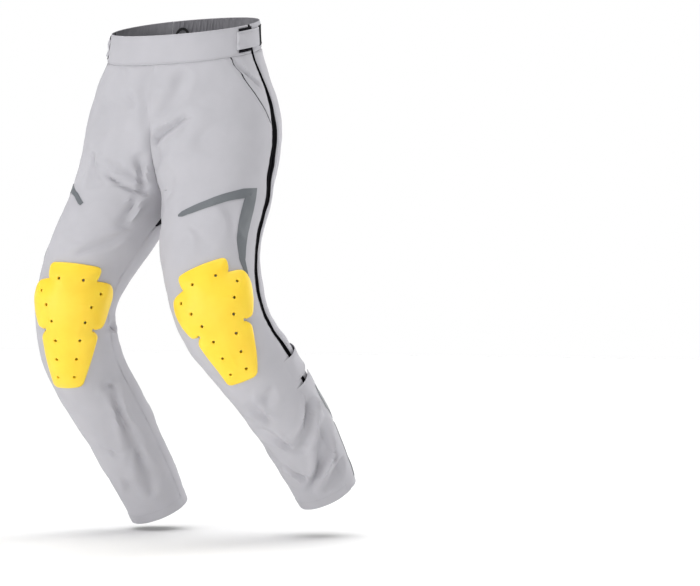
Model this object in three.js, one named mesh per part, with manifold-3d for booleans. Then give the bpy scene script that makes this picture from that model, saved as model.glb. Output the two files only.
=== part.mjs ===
// Motorcycle trousers in the form they have when worn: hollow, with nobody in them.
// Millimetres, +Z up. The wearer faces -Y and the wearer's left is +X.
// The origin is the middle of the waistband, where the garment is held.
import * as THREE from 'three';
import { mergeVertices } from 'three/addons/utils/BufferGeometryUtils.js';
import Module from 'manifold-3d';

// Driving sizes
const WALL = 1.6;              // shell cloth with its backing
const THIN = 1.2;              // loop tape, zip tape and pocket cloth
const FILM = 0.6;              // reflective film
const DRAWN_LEG = 1033;        // the length that places near the hem are given for
const HEM_PART = 900;          // places further down than this keep their distance from the hem
const SEAM = 0.3;              // between two pieces at a seam
const REST = 0.9;              // between a piece and what it is sewn on
const BAND_HEIGHT = 54;
const LEG_CELLS = 10;          // facets round half a leg
const LEG_STEP = 31;           // facets along a leg
const PATCH_STEP = 12;         // facets of what is sewn on
const FILM_STEP = 14;
const PAD_CELLS = 10;
const PAD_STEP = 26;
const PAD_REST = 2.5;          // between a pad and the cloth, which its facets bridge
const ELASTIC_HALF = 32;       // degrees either side of the centre back
const GATHERS = 12;
const GATHER_HEIGHT = 1.5;
const PAD_THICK = 12;          // knee armour
const PAD_EDGE = 4;
const HOLE_DIAMETER = 6;

// A short table: the names of its columns, then a row for each section or place.
const table = (names, rows) => (
  rows.map((row) => Object.fromEntries(names.map((name, i) => [name, row[i]])))
);

// Sections of one leg with its half of the seat, from the waist down. aside is how far the
// middle of the section lies from the body's mid-plane. pitch lifts the back of a section and
// lean its outer side, in degrees. out, into, front and back are its four half-widths.
const sectionColumns = ['aside', 'y', 'z', 'pitch', 'lean', 'out', 'into', 'front', 'back', 'square'];
const seatSections = [
  [0, -3, 27, 14, 0, 146, 146, 108, 112, 2.1],
  [0, -8, -27, 14, 0, 152, 152, 112, 116, 2.1],
  [6, -13, -75, 11, 0, 161, 158, 119, 127, 2.2],
  [22, -12, -130, 7, 0, 162, 152, 121, 134, 2.25],
  [46, -15, -185, 2, 1, 144, 137, 122, 134, 2.3],
  [68, -27, -232, -3, 2, 122, 116, 117, 123, 2.3],
  [84, -42, -268, -7, 3, 108, 103, 110, 110, 2.2],
  [96, -54, -298, -10, 4, 101, 97, 107, 104, 2.1],
];
const leftLegSections = [
  [102, -74, -332, -13, 6, 97, 95, 103, 101, 2],
  [106, -96, -376, -16, 8, 94, 92, 98, 98, 2],
  [115, -112, -419, -15, 8, 92, 90, 92, 94, 2],
  [125, -121, -456, -9, 8, 91, 86, 87, 91, 2],
  [136, -127, -492, -2, 8, 90, 82, 84, 90, 2],
  [146, -124, -525, 7, 9, 88, 79, 82, 87, 2],
  [158, -112, -555, 15, 10, 86, 76, 80, 84, 2],
  [173, -94, -581, 23, 11, 81, 73, 77, 79, 2],
  [190, -58, -624, 32, 11, 72, 68, 71, 73, 2],
  [203, -16, -669, 36, 11, 66, 66, 68, 68, 2],
  [213, 26, -715, 36, 11, 63, 63, 65, 65, 2],
  [219, 64, -762, 33, 11, 60, 60, 62, 62, 2],
  [227, 112, -824, 29, 11, 55, 55, 58, 58, 2],
  [229, 131, -850, 26, 11, 52, 52, 56, 56, 2],
];
const rightLegSections = [
  [107, -74, -332, -13, 7, 94, 90, 100, 100, 2],
  [122, -97, -376, -16, 10, 86, 82, 93, 94, 2],
  [141, -112, -419, -15, 11, 80, 76, 87, 89, 2],
  [154, -121, -456, -9, 9, 75, 74, 82, 83, 2],
  [163, -127, -492, -2, 6, 73, 74, 78, 80, 2],
  [167, -124, -526, 7, 2, 71, 75, 76, 78, 2],
  [170, -112, -556, 15, -2, 71, 76, 75, 76, 2],
  [171, -96, -583, 22, -5, 71, 73, 74, 74, 2],
  [171, -64, -628, 30, -9, 67, 70, 71, 70, 2],
  [161, -30, -676, 34, -11, 65, 67, 68, 67, 2],
  [152, 4, -723, 34, -11, 63, 65, 65, 65, 2],
  [144, 36, -770, 32, -11, 61, 63, 63, 63, 2],
  [132, 78, -834, 27, -11, 58, 59, 60, 60, 2],
  [123, 112, -892, 23, -11, 55, 55, 57, 57, 2],
];

// A place on the cloth is its distance down the leg from the top of the waistband and its
// turn round the section: 0 is the outer side, -90 the front, 90 the back, 180 the inner side.
const LEFT = 1;
const RIGHT = -1;
const sides = [{ side: LEFT, name: 'left' }, { side: RIGHT, name: 'right' }];

// Main folds: a soft ridge, or a trough where height is negative, from one place to another.
const foldColumns = ['side', 'down', 'turn', 'toDown', 'toTurn', 'height', 'width'];
const folds = table(foldColumns, [
  [LEFT, 75, -84, 250, -106, -4, 16],
  [LEFT, 150, -62, 262, -84, 4, 20],
  [RIGHT, 60, -62, 230, -70, -5, 18],
  [RIGHT, 120, -84, 290, -112, 4, 18],
  [RIGHT, 300, -58, 322, -128, -4, 13],
  [RIGHT, 345, -70, 318, -140, 4, 14],
  [RIGHT, 450, -88, 350, -150, -4, 14],
  [LEFT, 330, -128, 420, -148, -4, 16],
  [LEFT, 565, 50, 590, 150, -7, 13],
  [LEFT, 600, 40, 622, 140, 5, 13],
  [LEFT, 635, 60, 648, 160, -6, 13],
  [RIGHT, 560, 45, 588, 150, -7, 13],
  [RIGHT, 598, 40, 618, 140, 5, 13],
  [RIGHT, 630, 60, 645, 160, -6, 13],
  [LEFT, 770, -52, 905, -74, -6, 11],
  [LEFT, 800, -34, 930, -58, 5, 12],
  [LEFT, 850, -26, 1000, -56, -6, 11],
  [LEFT, 760, -118, 880, -92, -4, 12],
  [RIGHT, 730, -128, 985, -112, 5, 15],
  [RIGHT, 750, -152, 960, -140, -5, 14],
  [LEFT, 130, 96, 250, 122, -5, 15],
  [RIGHT, 130, 96, 250, 122, -5, 15],
  [LEFT, 230, 60, 330, 120, -5, 16],
  [RIGHT, 230, 60, 330, 120, -5, 16],
  [LEFT, 350, 70, 440, 120, 4, 18],
  [RIGHT, 350, 70, 440, 120, 4, 18],
]);

// The side zip runs from the waistband to the hem between the front and the back.
const zipColumns = ['down', 'turn', 'width'];
const zipLine = table(zipColumns, [
  [0, -8, 6], [54, -4, 6], [103, 2, 6], [160, 4, 7], [230, 6, 9], [300, 8, 10], [360, 10, 11],
  [420, 13, 11], [470, 9, 11], [530, 2, 9], [600, 3, 7], [700, 6, 6], [800, 8, 6], [1060, 10, 6],
]);

// The mouth of each hand pocket slants from the waist seam down to the zip.
const POCKET_TOP_TURN = -31;
const POCKET_FOOT = 200;
const pocketMouth = { [LEFT]: 0.8, [RIGHT]: 6 };
const POCKET_BAG_REACH = 8;

// The stretch gusset of each leg lies behind the crotch seam.
const gusset = { top: 286, widest: 338, foot: 398, width: 50, end: 3 };

// A knee pad from its top to its foot: how far it reaches to each side of its middle, and how
// far its middle drifts, then the rows of its air holes, with each hole's distance from the middle.
const padColumns = ['along', 'reach', 'drift'];
const padOutline = table(padColumns, [
  [0, 46, 0], [19, 50, 0], [23, 60, 0], [34, 76, 0], [58, 84, 0], [84, 80, 0], [99, 70, 1],
  [105, 58, 2], [111, 63, 3], [150, 51, 8], [190, 37, 14], [204, 30, 16],
]);
const padHoles = table(padColumns, [
  [26, 20, 0], [44, 60, 0], [70, 47, 0], [92, 34, 1], [118, 23, 4], [148, 19, 8], [180, 16, 13],
]);
const pads = {
  [LEFT]: { top: 504, middle: -71, drift: -0.7 },
  [RIGHT]: { top: 507, middle: -109, drift: 1 },
};

// Rectangles of tape and the straps that close on them: from and to, down the leg and round it.
const patch = {
  waistLoop: { down: 8, turn: 9, toDown: 46, toTurn: 52 },
  waistAnchor: { down: 6, turn: -27, toDown: 48, toTurn: -15 },
  waistTab: { down: 10, turn: -29, toDown: 44 },
  kneeLoop: { down: 702, turn: 34, toDown: 739, toTurn: 106 },
  kneeTab: { down: 696, turn: -14, toDown: 746, toTurn: 52 },
  flapHook: { down: 776, turn: 43, toDown: 828, toTurn: 52 },
  hemLoop: { down: 962, turn: 70, toDown: 1022, toTurn: 132 },
};

const waistTabEnd = { [LEFT]: 10, [RIGHT]: 28 };

// The storm flap over the lower zip ends in the strap that closes the hem.
const flapEdges = table(['down', 'front', 'rear'], [
  [758, -16, 34], [830, -16, 41], [944, -16, 42], [957, -16, 84], [1029, -16, 86],
]);

// Reflective film: the middle line of each strip with its width.
const stripColumns = ['down', 'turn', 'width'];
const thighStrip = table(stripColumns, [
  [416, -101, 5], [403, -86, 13], [382, -60, 17], [364, -36, 19], [360, -20, 20],
  [408, -18, 20], [462, -16, 18], [500, -20, 10], [524, -17, 4],
]);
const shinLeaf = table(stripColumns, [
  [792, 14, 3], [812, 11, 12], [838, 12, 15], [862, 20, 9], [880, 27, 3],
]);
const shinStrip = table(stripColumns, [
  [892, 29, 6], [930, 25, 14], [975, 22, 15], [1010, 20, 15], [1013, 44, 14], [1014, 66, 12], [1014, 76, 6],
]);

// Colours
const colour = {
  shell: { color: 0xc2c1c6, roughness: 0.82, metalness: 0 },
  tape: { color: 0x131217, roughness: 0.9, metalness: 0 },
  film: { color: 0x73767a, roughness: 0.5, metalness: 0.1 },
  armour: { color: 0xfce14b, roughness: 0.6, metalness: 0 },
};

const radians = THREE.MathUtils.degToRad;
const clamp = THREE.MathUtils.clamp;

// Slopes of every column, so that a table can be read smoothly between its rows.
function prepare(rows, key) {
  const last = rows.length - 1;
  const columns = Object.keys(rows[0]).filter((name) => name !== key);
  const slopes = rows.map(() => ({}));
  for (const name of columns) {
    const rise = (i) => (rows[i + 1][name] - rows[i][name]) / (rows[i + 1][key] - rows[i][key]);
    rows.forEach((row, i) => {
      if (i === 0 || i === last) {
        slopes[i][name] = rise(i === 0 ? 0 : last - 1);
        return;
      }
      const before = row[key] - rows[i - 1][key];
      const after = rows[i + 1][key] - row[key];
      slopes[i][name] = (rise(i - 1) * after + rise(i) * before) / (before + after);
    });
  }
  return { rows, key, columns, slopes };
}

function rowBefore(rows, key, at) {
  let i = 0;
  while (i < rows.length - 2 && rows[i + 1][key] <= at) i += 1;
  return i;
}

function readSmooth({ rows, key, columns, slopes }, at) {
  const i = rowBefore(rows, key, at);
  const span = rows[i + 1][key] - rows[i][key];
  const t = clamp((at - rows[i][key]) / span, 0, 1);
  const out = {};
  for (const name of columns) {
    const a = rows[i][name];
    const b = rows[i + 1][name];
    const leave = slopes[i][name] * span;
    const arrive = slopes[i + 1][name] * span;
    out[name] = (2 * t ** 3 - 3 * t ** 2 + 1) * a + (t ** 3 - 2 * t ** 2 + t) * leave
      + (3 * t ** 2 - 2 * t ** 3) * b + (t ** 3 - t ** 2) * arrive;
  }
  return out;
}

function readStraight(rows, key, name, at) {
  const i = rowBefore(rows, key, at);
  const t = clamp((at - rows[i][key]) / (rows[i + 1][key] - rows[i][key]), 0, 1);
  return THREE.MathUtils.lerp(rows[i][name], rows[i + 1][name], t);
}

// Each leg's sections, with their distance down its middle line.
function legSections(legRows) {
  const rows = table(sectionColumns, [...seatSections, ...legRows]);
  rows.forEach((row, i) => {
    const above = rows[i - 1] ?? row;
    row.down = (above.down ?? 0) + Math.hypot(row.aside - above.aside, row.y - above.y, row.z - above.z);
  });
  return prepare(rows, 'down');
}
const sections = { [LEFT]: legSections(leftLegSections), [RIGHT]: legSections(rightLegSections) };
const legLength = (side) => sections[side].rows.at(-1).down;
const hemward = (side, down) => (down < HEM_PART ? down : down + legLength(side) - DRAWN_LEG);

// How high the folds lift the cloth at a place.
function foldHeight(side, down, turn, radius) {
  let height = 0;
  for (const fold of folds) {
    if (fold.side !== side) continue;
    const scale = radians(1) * radius;
    const away = THREE.MathUtils.euclideanModulo(turn - fold.turn + 180, 360) - 180;
    const place = new THREE.Vector2(away * scale, down - fold.down);
    const line = new THREE.Vector2((fold.toTurn - fold.turn) * scale, fold.toDown - fold.down);
    const t = clamp(place.dot(line) / line.lengthSq(), 0, 1);
    const gap = place.distanceTo(line.clone().multiplyScalar(t));
    height += fold.height * Math.sqrt(4 * t * (1 - t)) * Math.exp(-((gap / fold.width) ** 2));
  }
  return height;
}

// The outer face of the cloth at a place.
function clothPoint(side, down, turn) {
  const s = readSmooth(sections[side], down);
  const c = Math.cos(radians(turn));
  const d = Math.sin(radians(turn));
  const wide = (c >= 0 ? s.out : s.into) * Math.sign(c) * Math.abs(c) ** (2 / s.square);
  const deep = (d >= 0 ? s.back : s.front) * Math.sign(d) * Math.abs(d) ** (2 / s.square);
  const radius = Math.hypot(wide, deep);
  const swell = 1 + foldHeight(side, down, turn, radius) / radius;
  const x = s.aside + wide * swell * Math.cos(radians(s.lean));
  const y = s.y + deep * swell * Math.cos(radians(s.pitch));
  const z = s.z + deep * swell * Math.sin(radians(s.pitch)) + wide * swell * Math.sin(radians(s.lean));
  return new THREE.Vector3(side * x, y, z);
}

function clothNormal(side, down, turn) {
  const round = clothPoint(side, down, turn + 1).sub(clothPoint(side, down, turn - 1));
  const along = clothPoint(side, down + 1, turn).sub(clothPoint(side, Math.max(0, down - 1), turn));
  return along.cross(round).multiplyScalar(side).normalize();
}

const millimetresPerDegree = (side, down, turn) => (
  clothPoint(side, down, turn + 1).distanceTo(clothPoint(side, down, turn - 1)) / 2
);

// The turn at which a section meets the body's mid-plane, or the inner seam lower down.
function innerTurn(side, down) {
  const s = readSmooth(sections[side], down);
  const share = (s.aside - SEAM / 2) / (s.into * Math.cos(radians(s.lean)));
  if (share <= 0) return 90;
  if (share < 1) return 180 - THREE.MathUtils.radToDeg(Math.acos(share ** (s.square / 2)));
  return 180 - SEAM / 2 / millimetresPerDegree(side, down, 180);
}

const zipTurn = (down) => readStraight(zipLine, 'down', 'turn', down);
const zipHalf = (down) => readStraight(zipLine, 'down', 'width', down) / 2;

function besideZip(side, down, way, gap) {
  return zipTurn(down) + way * (zipHalf(down) + gap) / millimetresPerDegree(side, down, zipTurn(down));
}

// The slant of the pocket mouth, from the waist seam to the zip.
function pocketTurn(down) {
  const share = (down - BAND_HEIGHT) / (POCKET_FOOT - BAND_HEIGHT);
  return THREE.MathUtils.lerp(POCKET_TOP_TURN, zipTurn(POCKET_FOOT) - 3, share);
}

function frontOuterEdge(side, down) {
  const edge = besideZip(side, down, -1, SEAM);
  return down < POCKET_FOOT ? Math.min(edge, pocketTurn(down)) : edge;
}

// How wide the gusset is, and so how far the back panel stops short of the inner seam.
function gussetTurn(side, down) {
  if (down <= gusset.top || down >= gusset.foot) return 0;
  const share = down < gusset.widest
    ? (down - gusset.top) / (gusset.widest - gusset.top)
    : (gusset.foot - down) / (gusset.foot - gusset.widest);
  const width = THREE.MathUtils.lerp(gusset.end, gusset.width, Math.sin(share * Math.PI / 2));
  return width / millimetresPerDegree(side, down, Math.min(innerTurn(side, down), 170));
}

// Where the rows of a leg's facets lie: close together where the two legs part.
const crotchRows = [282, 296, 308, 320, 330, 340, 351];
function legRows(side) {
  const end = legLength(side);
  const rows = [BAND_HEIGHT + SEAM];
  const fill = (to) => {
    const from = rows.at(-1);
    const count = Math.ceil((to - from) / LEG_STEP);
    for (let i = 1; i <= count; i += 1) rows.push(from + (to - from) * i / count);
  };
  fill(POCKET_FOOT);
  crotchRows.forEach(fill);
  fill(end);
  return rows;
}

// A grid of places: for each row, evenly spaced between the two edges.
function places(side, rows, cells, from, to) {
  return rows.map((down) => {
    const start = from(down);
    const end = to(down);
    return Array.from({ length: cells + 1 }, (_, i) => (
      { side, down, turn: THREE.MathUtils.lerp(start, end, i / cells) }
    ));
  });
}

// A closed wall from two grids of points, one for each face.
function wall(outer, inner) {
  const high = outer.length;
  const wide = outer[0].length;
  const positions = [];
  for (const grid of [outer, inner]) {
    for (const row of grid) for (const p of row) positions.push(p.x, p.y, p.z);
  }
  const at = (face, i, j) => face * high * wide + i * wide + j;
  const index = [];
  const quad = (a, b, c, d) => index.push(a, b, c, a, c, d);
  for (let i = 0; i < high - 1; i += 1) {
    for (let j = 0; j < wide - 1; j += 1) {
      quad(at(0, i, j), at(0, i + 1, j), at(0, i + 1, j + 1), at(0, i, j + 1));
      quad(at(1, i, j), at(1, i, j + 1), at(1, i + 1, j + 1), at(1, i + 1, j));
    }
  }
  for (let j = 0; j < wide - 1; j += 1) {
    quad(at(0, 0, j), at(0, 0, j + 1), at(1, 0, j + 1), at(1, 0, j));
    quad(at(0, high - 1, j + 1), at(0, high - 1, j), at(1, high - 1, j), at(1, high - 1, j + 1));
  }
  for (let i = 0; i < high - 1; i += 1) {
    quad(at(0, i + 1, 0), at(0, i, 0), at(1, i, 0), at(1, i + 1, 0));
    quad(at(0, i, wide - 1), at(0, i + 1, wide - 1), at(1, i + 1, wide - 1), at(1, i, wide - 1));
  }
  const geometry = new THREE.BufferGeometry();
  geometry.setAttribute('position', new THREE.Float32BufferAttribute(positions, 3));
  geometry.setIndex(index);
  return faceOutward(geometry);
}

function volumeOf(geometry) {
  const position = geometry.attributes.position;
  const corner = (k) => new THREE.Vector3().fromBufferAttribute(position, geometry.index.getX(k));
  let volume = 0;
  for (let k = 0; k < geometry.index.count; k += 3) {
    volume += corner(k).dot(corner(k + 1).cross(corner(k + 2))) / 6;
  }
  return volume;
}

function faceOutward(geometry) {
  if (volumeOf(geometry) < 0) {
    const index = Array.from(geometry.index.array);
    for (let k = 0; k < index.length; k += 3) [index[k], index[k + 1]] = [index[k + 1], index[k]];
    geometry.setIndex(index);
  }
  return geometry;
}

// The two faces of a cut piece of cloth: lift is where its inner face lies on the surface.
function clothWall(grid, lift, thickness, swell = () => 0) {
  const face = (height, raise) => grid.map((row) => row.map(({ side, down, turn }) => (
    clothPoint(side, down, turn)
      .addScaledVector(clothNormal(side, down, turn), height + raise * swell(side, down, turn))
  )));
  return wall(face(lift + thickness, 1), face(lift, 0));
}

// What is sewn on a leg lies along the facets of its front and back.
const facets = { [LEFT]: null, [RIGHT]: null };

function onRow(row, turn) {
  let j = 0;
  while (j < row.length - 2 && row[j + 1].turn <= turn) j += 1;
  const t = clamp((turn - row[j].turn) / (row[j + 1].turn - row[j].turn), 0, 1);
  return row[j].point.clone().lerp(row[j + 1].point, t);
}

function onFacets(side, down, turn, height) {
  const rows = facets[side];
  const i = rowBefore(rows, 'down', down);
  const t = clamp((down - rows[i].down) / (rows[i + 1].down - rows[i].down), 0, 1);
  const wrapped = THREE.MathUtils.euclideanModulo(turn + 180, 360) - 180;
  return onRow(rows[i].stops, wrapped).lerp(onRow(rows[i + 1].stops, wrapped), t)
    .addScaledVector(clothNormal(side, down, turn), height);
}

function sewnOn(grid, lift, thickness) {
  const face = (height) => grid.map((row) => row.map(({ side, down, turn }, j) => (
    onFacets(side, down, turn, typeof height === 'function' ? height(j / (row.length - 1)) : height)
  )));
  const top = typeof lift === 'function' ? (share) => lift(share) + thickness : lift + thickness;
  return wall(face(top), face(lift));
}

const group = new THREE.Group();

function add(name, geometry, finish) {
  const mesh = new THREE.Mesh(geometry, new THREE.MeshStandardMaterial(colour[finish]));
  mesh.name = name;
  group.add(mesh);
  return mesh;
}

// Front and back of each leg, with its half of the seat.
function addPanels({ side, name }) {
  const rows = legRows(side);
  const front = places(side, rows, LEG_CELLS, (d) => -innerTurn(side, d), (d) => frontOuterEdge(side, d));
  const back = places(side, rows, LEG_CELLS, (d) => besideZip(side, d, 1, SEAM), (d) => (
    innerTurn(side, d) - gussetTurn(side, d)
  ));
  add(`front_${name}`, clothWall(front, -WALL, WALL), 'shell');
  add(`back_${name}`, clothWall(back, -WALL, WALL), 'shell');
  facets[side] = rows.map((down, i) => ({ down, stops: stopsOf([...front[i], ...back[i]]) }));
}

function stopsOf(row) {
  return row.map(({ side, down, turn }) => ({ turn, point: clothPoint(side, down, turn) }));
}

// Rows between two distances, no further apart than the step.
function steps(from, to, step) {
  const count = Math.max(1, Math.ceil((to - from) / step));
  return Array.from({ length: count + 1 }, (_, i) => from + (to - from) * i / count);
}

function addGusset({ side, name }) {
  const rows = legRows(side).filter((d) => d > gusset.top && d < gusset.foot);
  const clear = (d) => SEAM / millimetresPerDegree(side, d, Math.min(innerTurn(side, d), 170));
  const grid = places(side, rows, 3, (d) => innerTurn(side, d) - gussetTurn(side, d) + clear(d), (d) => (
    innerTurn(side, d)
  ));
  add(`crotch_gusset_${name}`, clothWall(grid, -WALL, WALL), 'tape');
}

function addZip({ side, name }) {
  const rows = [...steps(SEAM, BAND_HEIGHT, LEG_STEP), ...legRows(side).slice(1)];
  const grid = places(side, rows, 1, (d) => besideZip(side, d, -1, 0), (d) => besideZip(side, d, 1, 0));
  add(`side_zip_${name}`, clothWall(grid, -WALL, THIN), 'tape');
}

// The facing behind the pocket mouth, and the dark pocket cloth that shows in it.
function addPocket({ side, name }) {
  const rows = legRows(side).filter((d) => d < POCKET_FOOT - 1);
  const beside = (d, gap) => pocketTurn(d) + gap / millimetresPerDegree(side, d, pocketTurn(d));
  const room = (d) => besideZip(side, d, -1, SEAM) - pocketTurn(d);
  const mouth = (d) => Math.min(beside(d, pocketMouth[side]), pocketTurn(d) + room(d) / 2);
  const facing = places(side, rows, 4, mouth, (d) => besideZip(side, d, -1, SEAM));
  add(`pocket_facing_${name}`, clothWall(facing, -WALL, WALL), 'shell');
  facing.forEach((row, i) => {
    facets[side][i].stops.push(...stopsOf(row));
    facets[side][i].stops.sort((a, b) => a.turn - b.turn);
  });
  const bag = places(side, rows, 3, (d) => beside(d, -POCKET_BAG_REACH), (d) => mouth(d) + room(d) / 4);
  add(`pocket_bag_${name}`, sewnOn(bag, -WALL - REST - THIN, THIN), 'tape');
}

// The waistband: plain round the front and sides, gathered on elastic across the back.
const bandRows = steps(0, BAND_HEIGHT, BAND_HEIGHT / 2);
const elasticEdge = 90 - ELASTIC_HALF;

function addWaistband() {
  const half = (side, from, to, cells) => places(side, bandRows, cells, from, to);
  const joinHalves = (right, left) => right.map((row, i) => [...row, ...left[i].slice(1)]);
  const frontHalf = (side, from, to) => half(side, from, to, LEG_CELLS - 1);
  const front = joinHalves(
    frontHalf(RIGHT, (d) => besideZip(RIGHT, d, -1, SEAM), () => -90),
    frontHalf(LEFT, () => -90, (d) => besideZip(LEFT, d, -1, SEAM)),
  );
  add('waistband_front', clothWall(front, -WALL, WALL), 'shell');
  for (const { side, name } of sides) {
    const end = elasticEdge - SEAM / millimetresPerDegree(side, 0, elasticEdge);
    const back = half(side, (d) => besideZip(side, d, 1, SEAM), () => end, 6);
    add(`waistband_back_${name}`, clothWall(back, -WALL, WALL), 'shell');
  }
  const cells = GATHERS * 2;
  const elastic = joinHalves(
    half(RIGHT, () => elasticEdge, () => 90, cells),
    half(LEFT, () => 90, () => elasticEdge, cells),
  );
  const gather = (side, down, turn) => {
    const share = (90 - turn) / ELASTIC_HALF;
    return GATHER_HEIGHT * (0.5 - 0.5 * Math.cos(Math.PI * GATHERS * share));
  };
  add('waistband_elastic', clothWall(elastic, -WALL, WALL, gather), 'shell');
}

// A rectangle of cloth or tape on the waistband or on a leg.
function rectangle(side, { down, turn, toDown, toTurn }) {
  const middle = (down + toDown) / 2;
  const width = (toTurn - turn) * millimetresPerDegree(side, middle, (turn + toTurn) / 2);
  const cells = Math.ceil(width / PATCH_STEP);
  return places(side, steps(down, toDown, PATCH_STEP * 1.5), cells, () => turn, () => toTurn);
}

function addWaistTab({ side, name }) {
  add(`waist_loop_patch_${name}`, clothWall(rectangle(side, patch.waistLoop), REST, THIN), 'tape');
  add(`waist_anchor_${name}`, clothWall(rectangle(side, patch.waistAnchor), REST, THIN), 'tape');
  const tab = { ...patch.waistTab, toTurn: waistTabEnd[side] };
  add(`waist_tab_${name}`, clothWall(rectangle(side, tab), 2 * REST + THIN, WALL), 'shell');
}

// A strap or flap is sewn down at its front edge and lies over what it closes on: how high
// its inner face is, from the front edge to the rear.
const overTape = (share) => REST + (REST + THIN) * Math.min(1, share * 4);

function addKneeTab({ side, name }) {
  add(`knee_loop_patch_${name}`, sewnOn(rectangle(side, patch.kneeLoop), REST, THIN), 'tape');
  add(`knee_tab_${name}`, sewnOn(rectangle(side, patch.kneeTab), overTape, WALL), 'shell');
}

function addStormFlap({ side, name }) {
  add(`flap_hook_strip_${name}`, sewnOn(rectangle(side, patch.flapHook), REST, THIN), 'tape');
  const hem = {
    ...patch.hemLoop,
    down: hemward(side, patch.hemLoop.down),
    toDown: hemward(side, patch.hemLoop.toDown),
  };
  add(`hem_loop_patch_${name}`, sewnOn(rectangle(side, hem), REST, THIN), 'tape');
  const edges = flapEdges.map((row) => ({ ...row, down: hemward(side, row.down) }));
  const edge = (column) => (down) => readStraight(edges, 'down', column, down);
  const [top, , rear, strap, foot] = edges.map(({ down }) => down);
  const rows = [
    ...steps(top, rear, LEG_STEP),
    ...steps(rear, strap, (strap - rear) / 4).slice(1, -1),
    ...steps(strap, foot, PATCH_STEP * 2),
  ];
  const grid = places(side, rows, 8, edge('front'), edge('rear'));
  add(`storm_flap_${name}`, sewnOn(grid, overTape, WALL), 'shell');
}

// A strip of film along a middle line, with its corners mitred.
function strip(side, line, cells) {
  const flat = line.map(({ down, turn }) => (
    new THREE.Vector2(turn * millimetresPerDegree(side, down, turn), down)
  ));
  const across = flat.map((p, i) => {
    const before = p.clone().sub(flat[i - 1] ?? flat[0]).normalize();
    const after = (flat[i + 1] ?? p).clone().sub(p).normalize();
    const along = before.clone().add(after).normalize();
    const normal = new THREE.Vector2(-along.y, along.x);
    const reference = i === 0 ? after : before;
    const mitre = Math.abs(normal.dot(new THREE.Vector2(-reference.y, reference.x)));
    return normal.multiplyScalar(line[i].width / 2 / Math.max(mitre, 0.4));
  });
  return line.map(({ down, turn }, i) => Array.from({ length: cells + 1 }, (_, j) => {
    const shift = across[i].clone().multiplyScalar(2 * j / cells - 1);
    return { side, down: down + shift.y, turn: turn + shift.x / millimetresPerDegree(side, down, turn) };
  }));
}

// More rows in a strip, so that it follows the leg.
function refine(line, step, side) {
  const out = [line[0]];
  for (let i = 1; i < line.length; i += 1) {
    const a = line[i - 1];
    const b = line[i];
    const scale = millimetresPerDegree(side, a.down, a.turn);
    const reach = Math.hypot(b.down - a.down, (b.turn - a.turn) * scale);
    const count = Math.ceil(reach / step);
    for (let k = 1; k <= count; k += 1) {
      const mix = (name) => THREE.MathUtils.lerp(a[name], b[name], k / count);
      out.push({ down: mix('down'), turn: mix('turn'), width: mix('width') });
    }
  }
  return out;
}

function addReflective({ side, name }) {
  const film = (line, lift) => {
    const fitted = line.map((row) => ({ ...row, down: hemward(side, row.down) }));
    return sewnOn(strip(side, refine(fitted, FILM_STEP, side), 2), lift, FILM);
  };
  add(`thigh_reflective_${name}`, film(thighStrip, REST + 2 * SEAM), 'film');
  const onFlap = 3 * REST + THIN + WALL;
  add(`shin_leaf_${name}`, film(shinLeaf, onFlap), 'film');
  add(`shin_reflective_${name}`, film(shinStrip, onFlap), 'film');
}

// Knee armour: a domed pad over the knee with rows of air holes.
const wasm = await Module();
wasm.setup();

function toSolid(geometry) {
  const merged = geometry.clone();
  for (const name of ['normal', 'uv']) if (merged.attributes[name]) merged.deleteAttribute(name);
  const whole = mergeVertices(merged, 1e-4);
  const mesh = new wasm.Mesh({
    numProp: 3,
    vertProperties: new Float32Array(whole.attributes.position.array),
    triVerts: new Uint32Array(whole.index.array),
  });
  return new wasm.Manifold(mesh);
}

function toGeometry(solid) {
  const mesh = solid.getMesh();
  const geometry = new THREE.BufferGeometry();
  geometry.setAttribute('position', new THREE.BufferAttribute(new Float32Array(mesh.vertProperties), 3));
  geometry.setIndex(Array.from(mesh.triVerts));
  return geometry;
}

function addKneePad({ side, name }) {
  const pad = pads[side];
  const rows = padOutline.flatMap(({ along }, i) => (
    i === 0 ? [along] : steps(padOutline[i - 1].along, along, PAD_STEP).slice(1)
  ));
  const read = (column, along) => readStraight(padOutline, 'along', column, along);
  const middle = (along) => pad.middle + pad.drift * read('drift', along);
  const perDegree = (along) => millimetresPerDegree(side, pad.top + along, middle(along));
  const length = rows.at(-1);
  const face = (lift, thick) => rows.map((along) => Array.from({ length: PAD_CELLS + 1 }, (_, j) => {
    const share = 2 * j / PAD_CELLS - 1;
    const turn = middle(along) + share * read('reach', along) / perDegree(along);
    const end = 2 * along / length - 1;
    const crown = Math.sqrt(Math.max(0, 1 - share ** 4)) * Math.sqrt(Math.max(0, 1 - end ** 6));
    return onFacets(side, pad.top + along, turn, lift + thick * (PAD_EDGE + (PAD_THICK - PAD_EDGE) * crown));
  }));
  let solid = toSolid(wall(face(PAD_REST, 1), face(PAD_REST, 0)));
  for (const hole of padHoles) {
    for (const way of [-1, 1]) {
      const down = pad.top + hole.along;
      const turn = middle(hole.along) + way * hole.reach / perDegree(hole.along);
      const drill = new THREE.CylinderGeometry(HOLE_DIAMETER / 2, HOLE_DIAMETER / 2, PAD_THICK * 3, 6);
      const normal = clothNormal(side, down, turn);
      drill.applyQuaternion(new THREE.Quaternion().setFromUnitVectors(new THREE.Vector3(0, 1, 0), normal));
      drill.translate(...onFacets(side, down, turn, PAD_THICK / 2).toArray());
      solid = solid.subtract(toSolid(drill));
    }
  }
  add(`knee_armour_${name}`, toGeometry(solid), 'armour');
}

// A loop of tape inside the back of the waistband, to hang the trousers by.
const hangerLoop = { turn: 66, foot: 34, rise: 17, half: 5, width: 5, depth: 1.2, inside: 3.4 };

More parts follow.
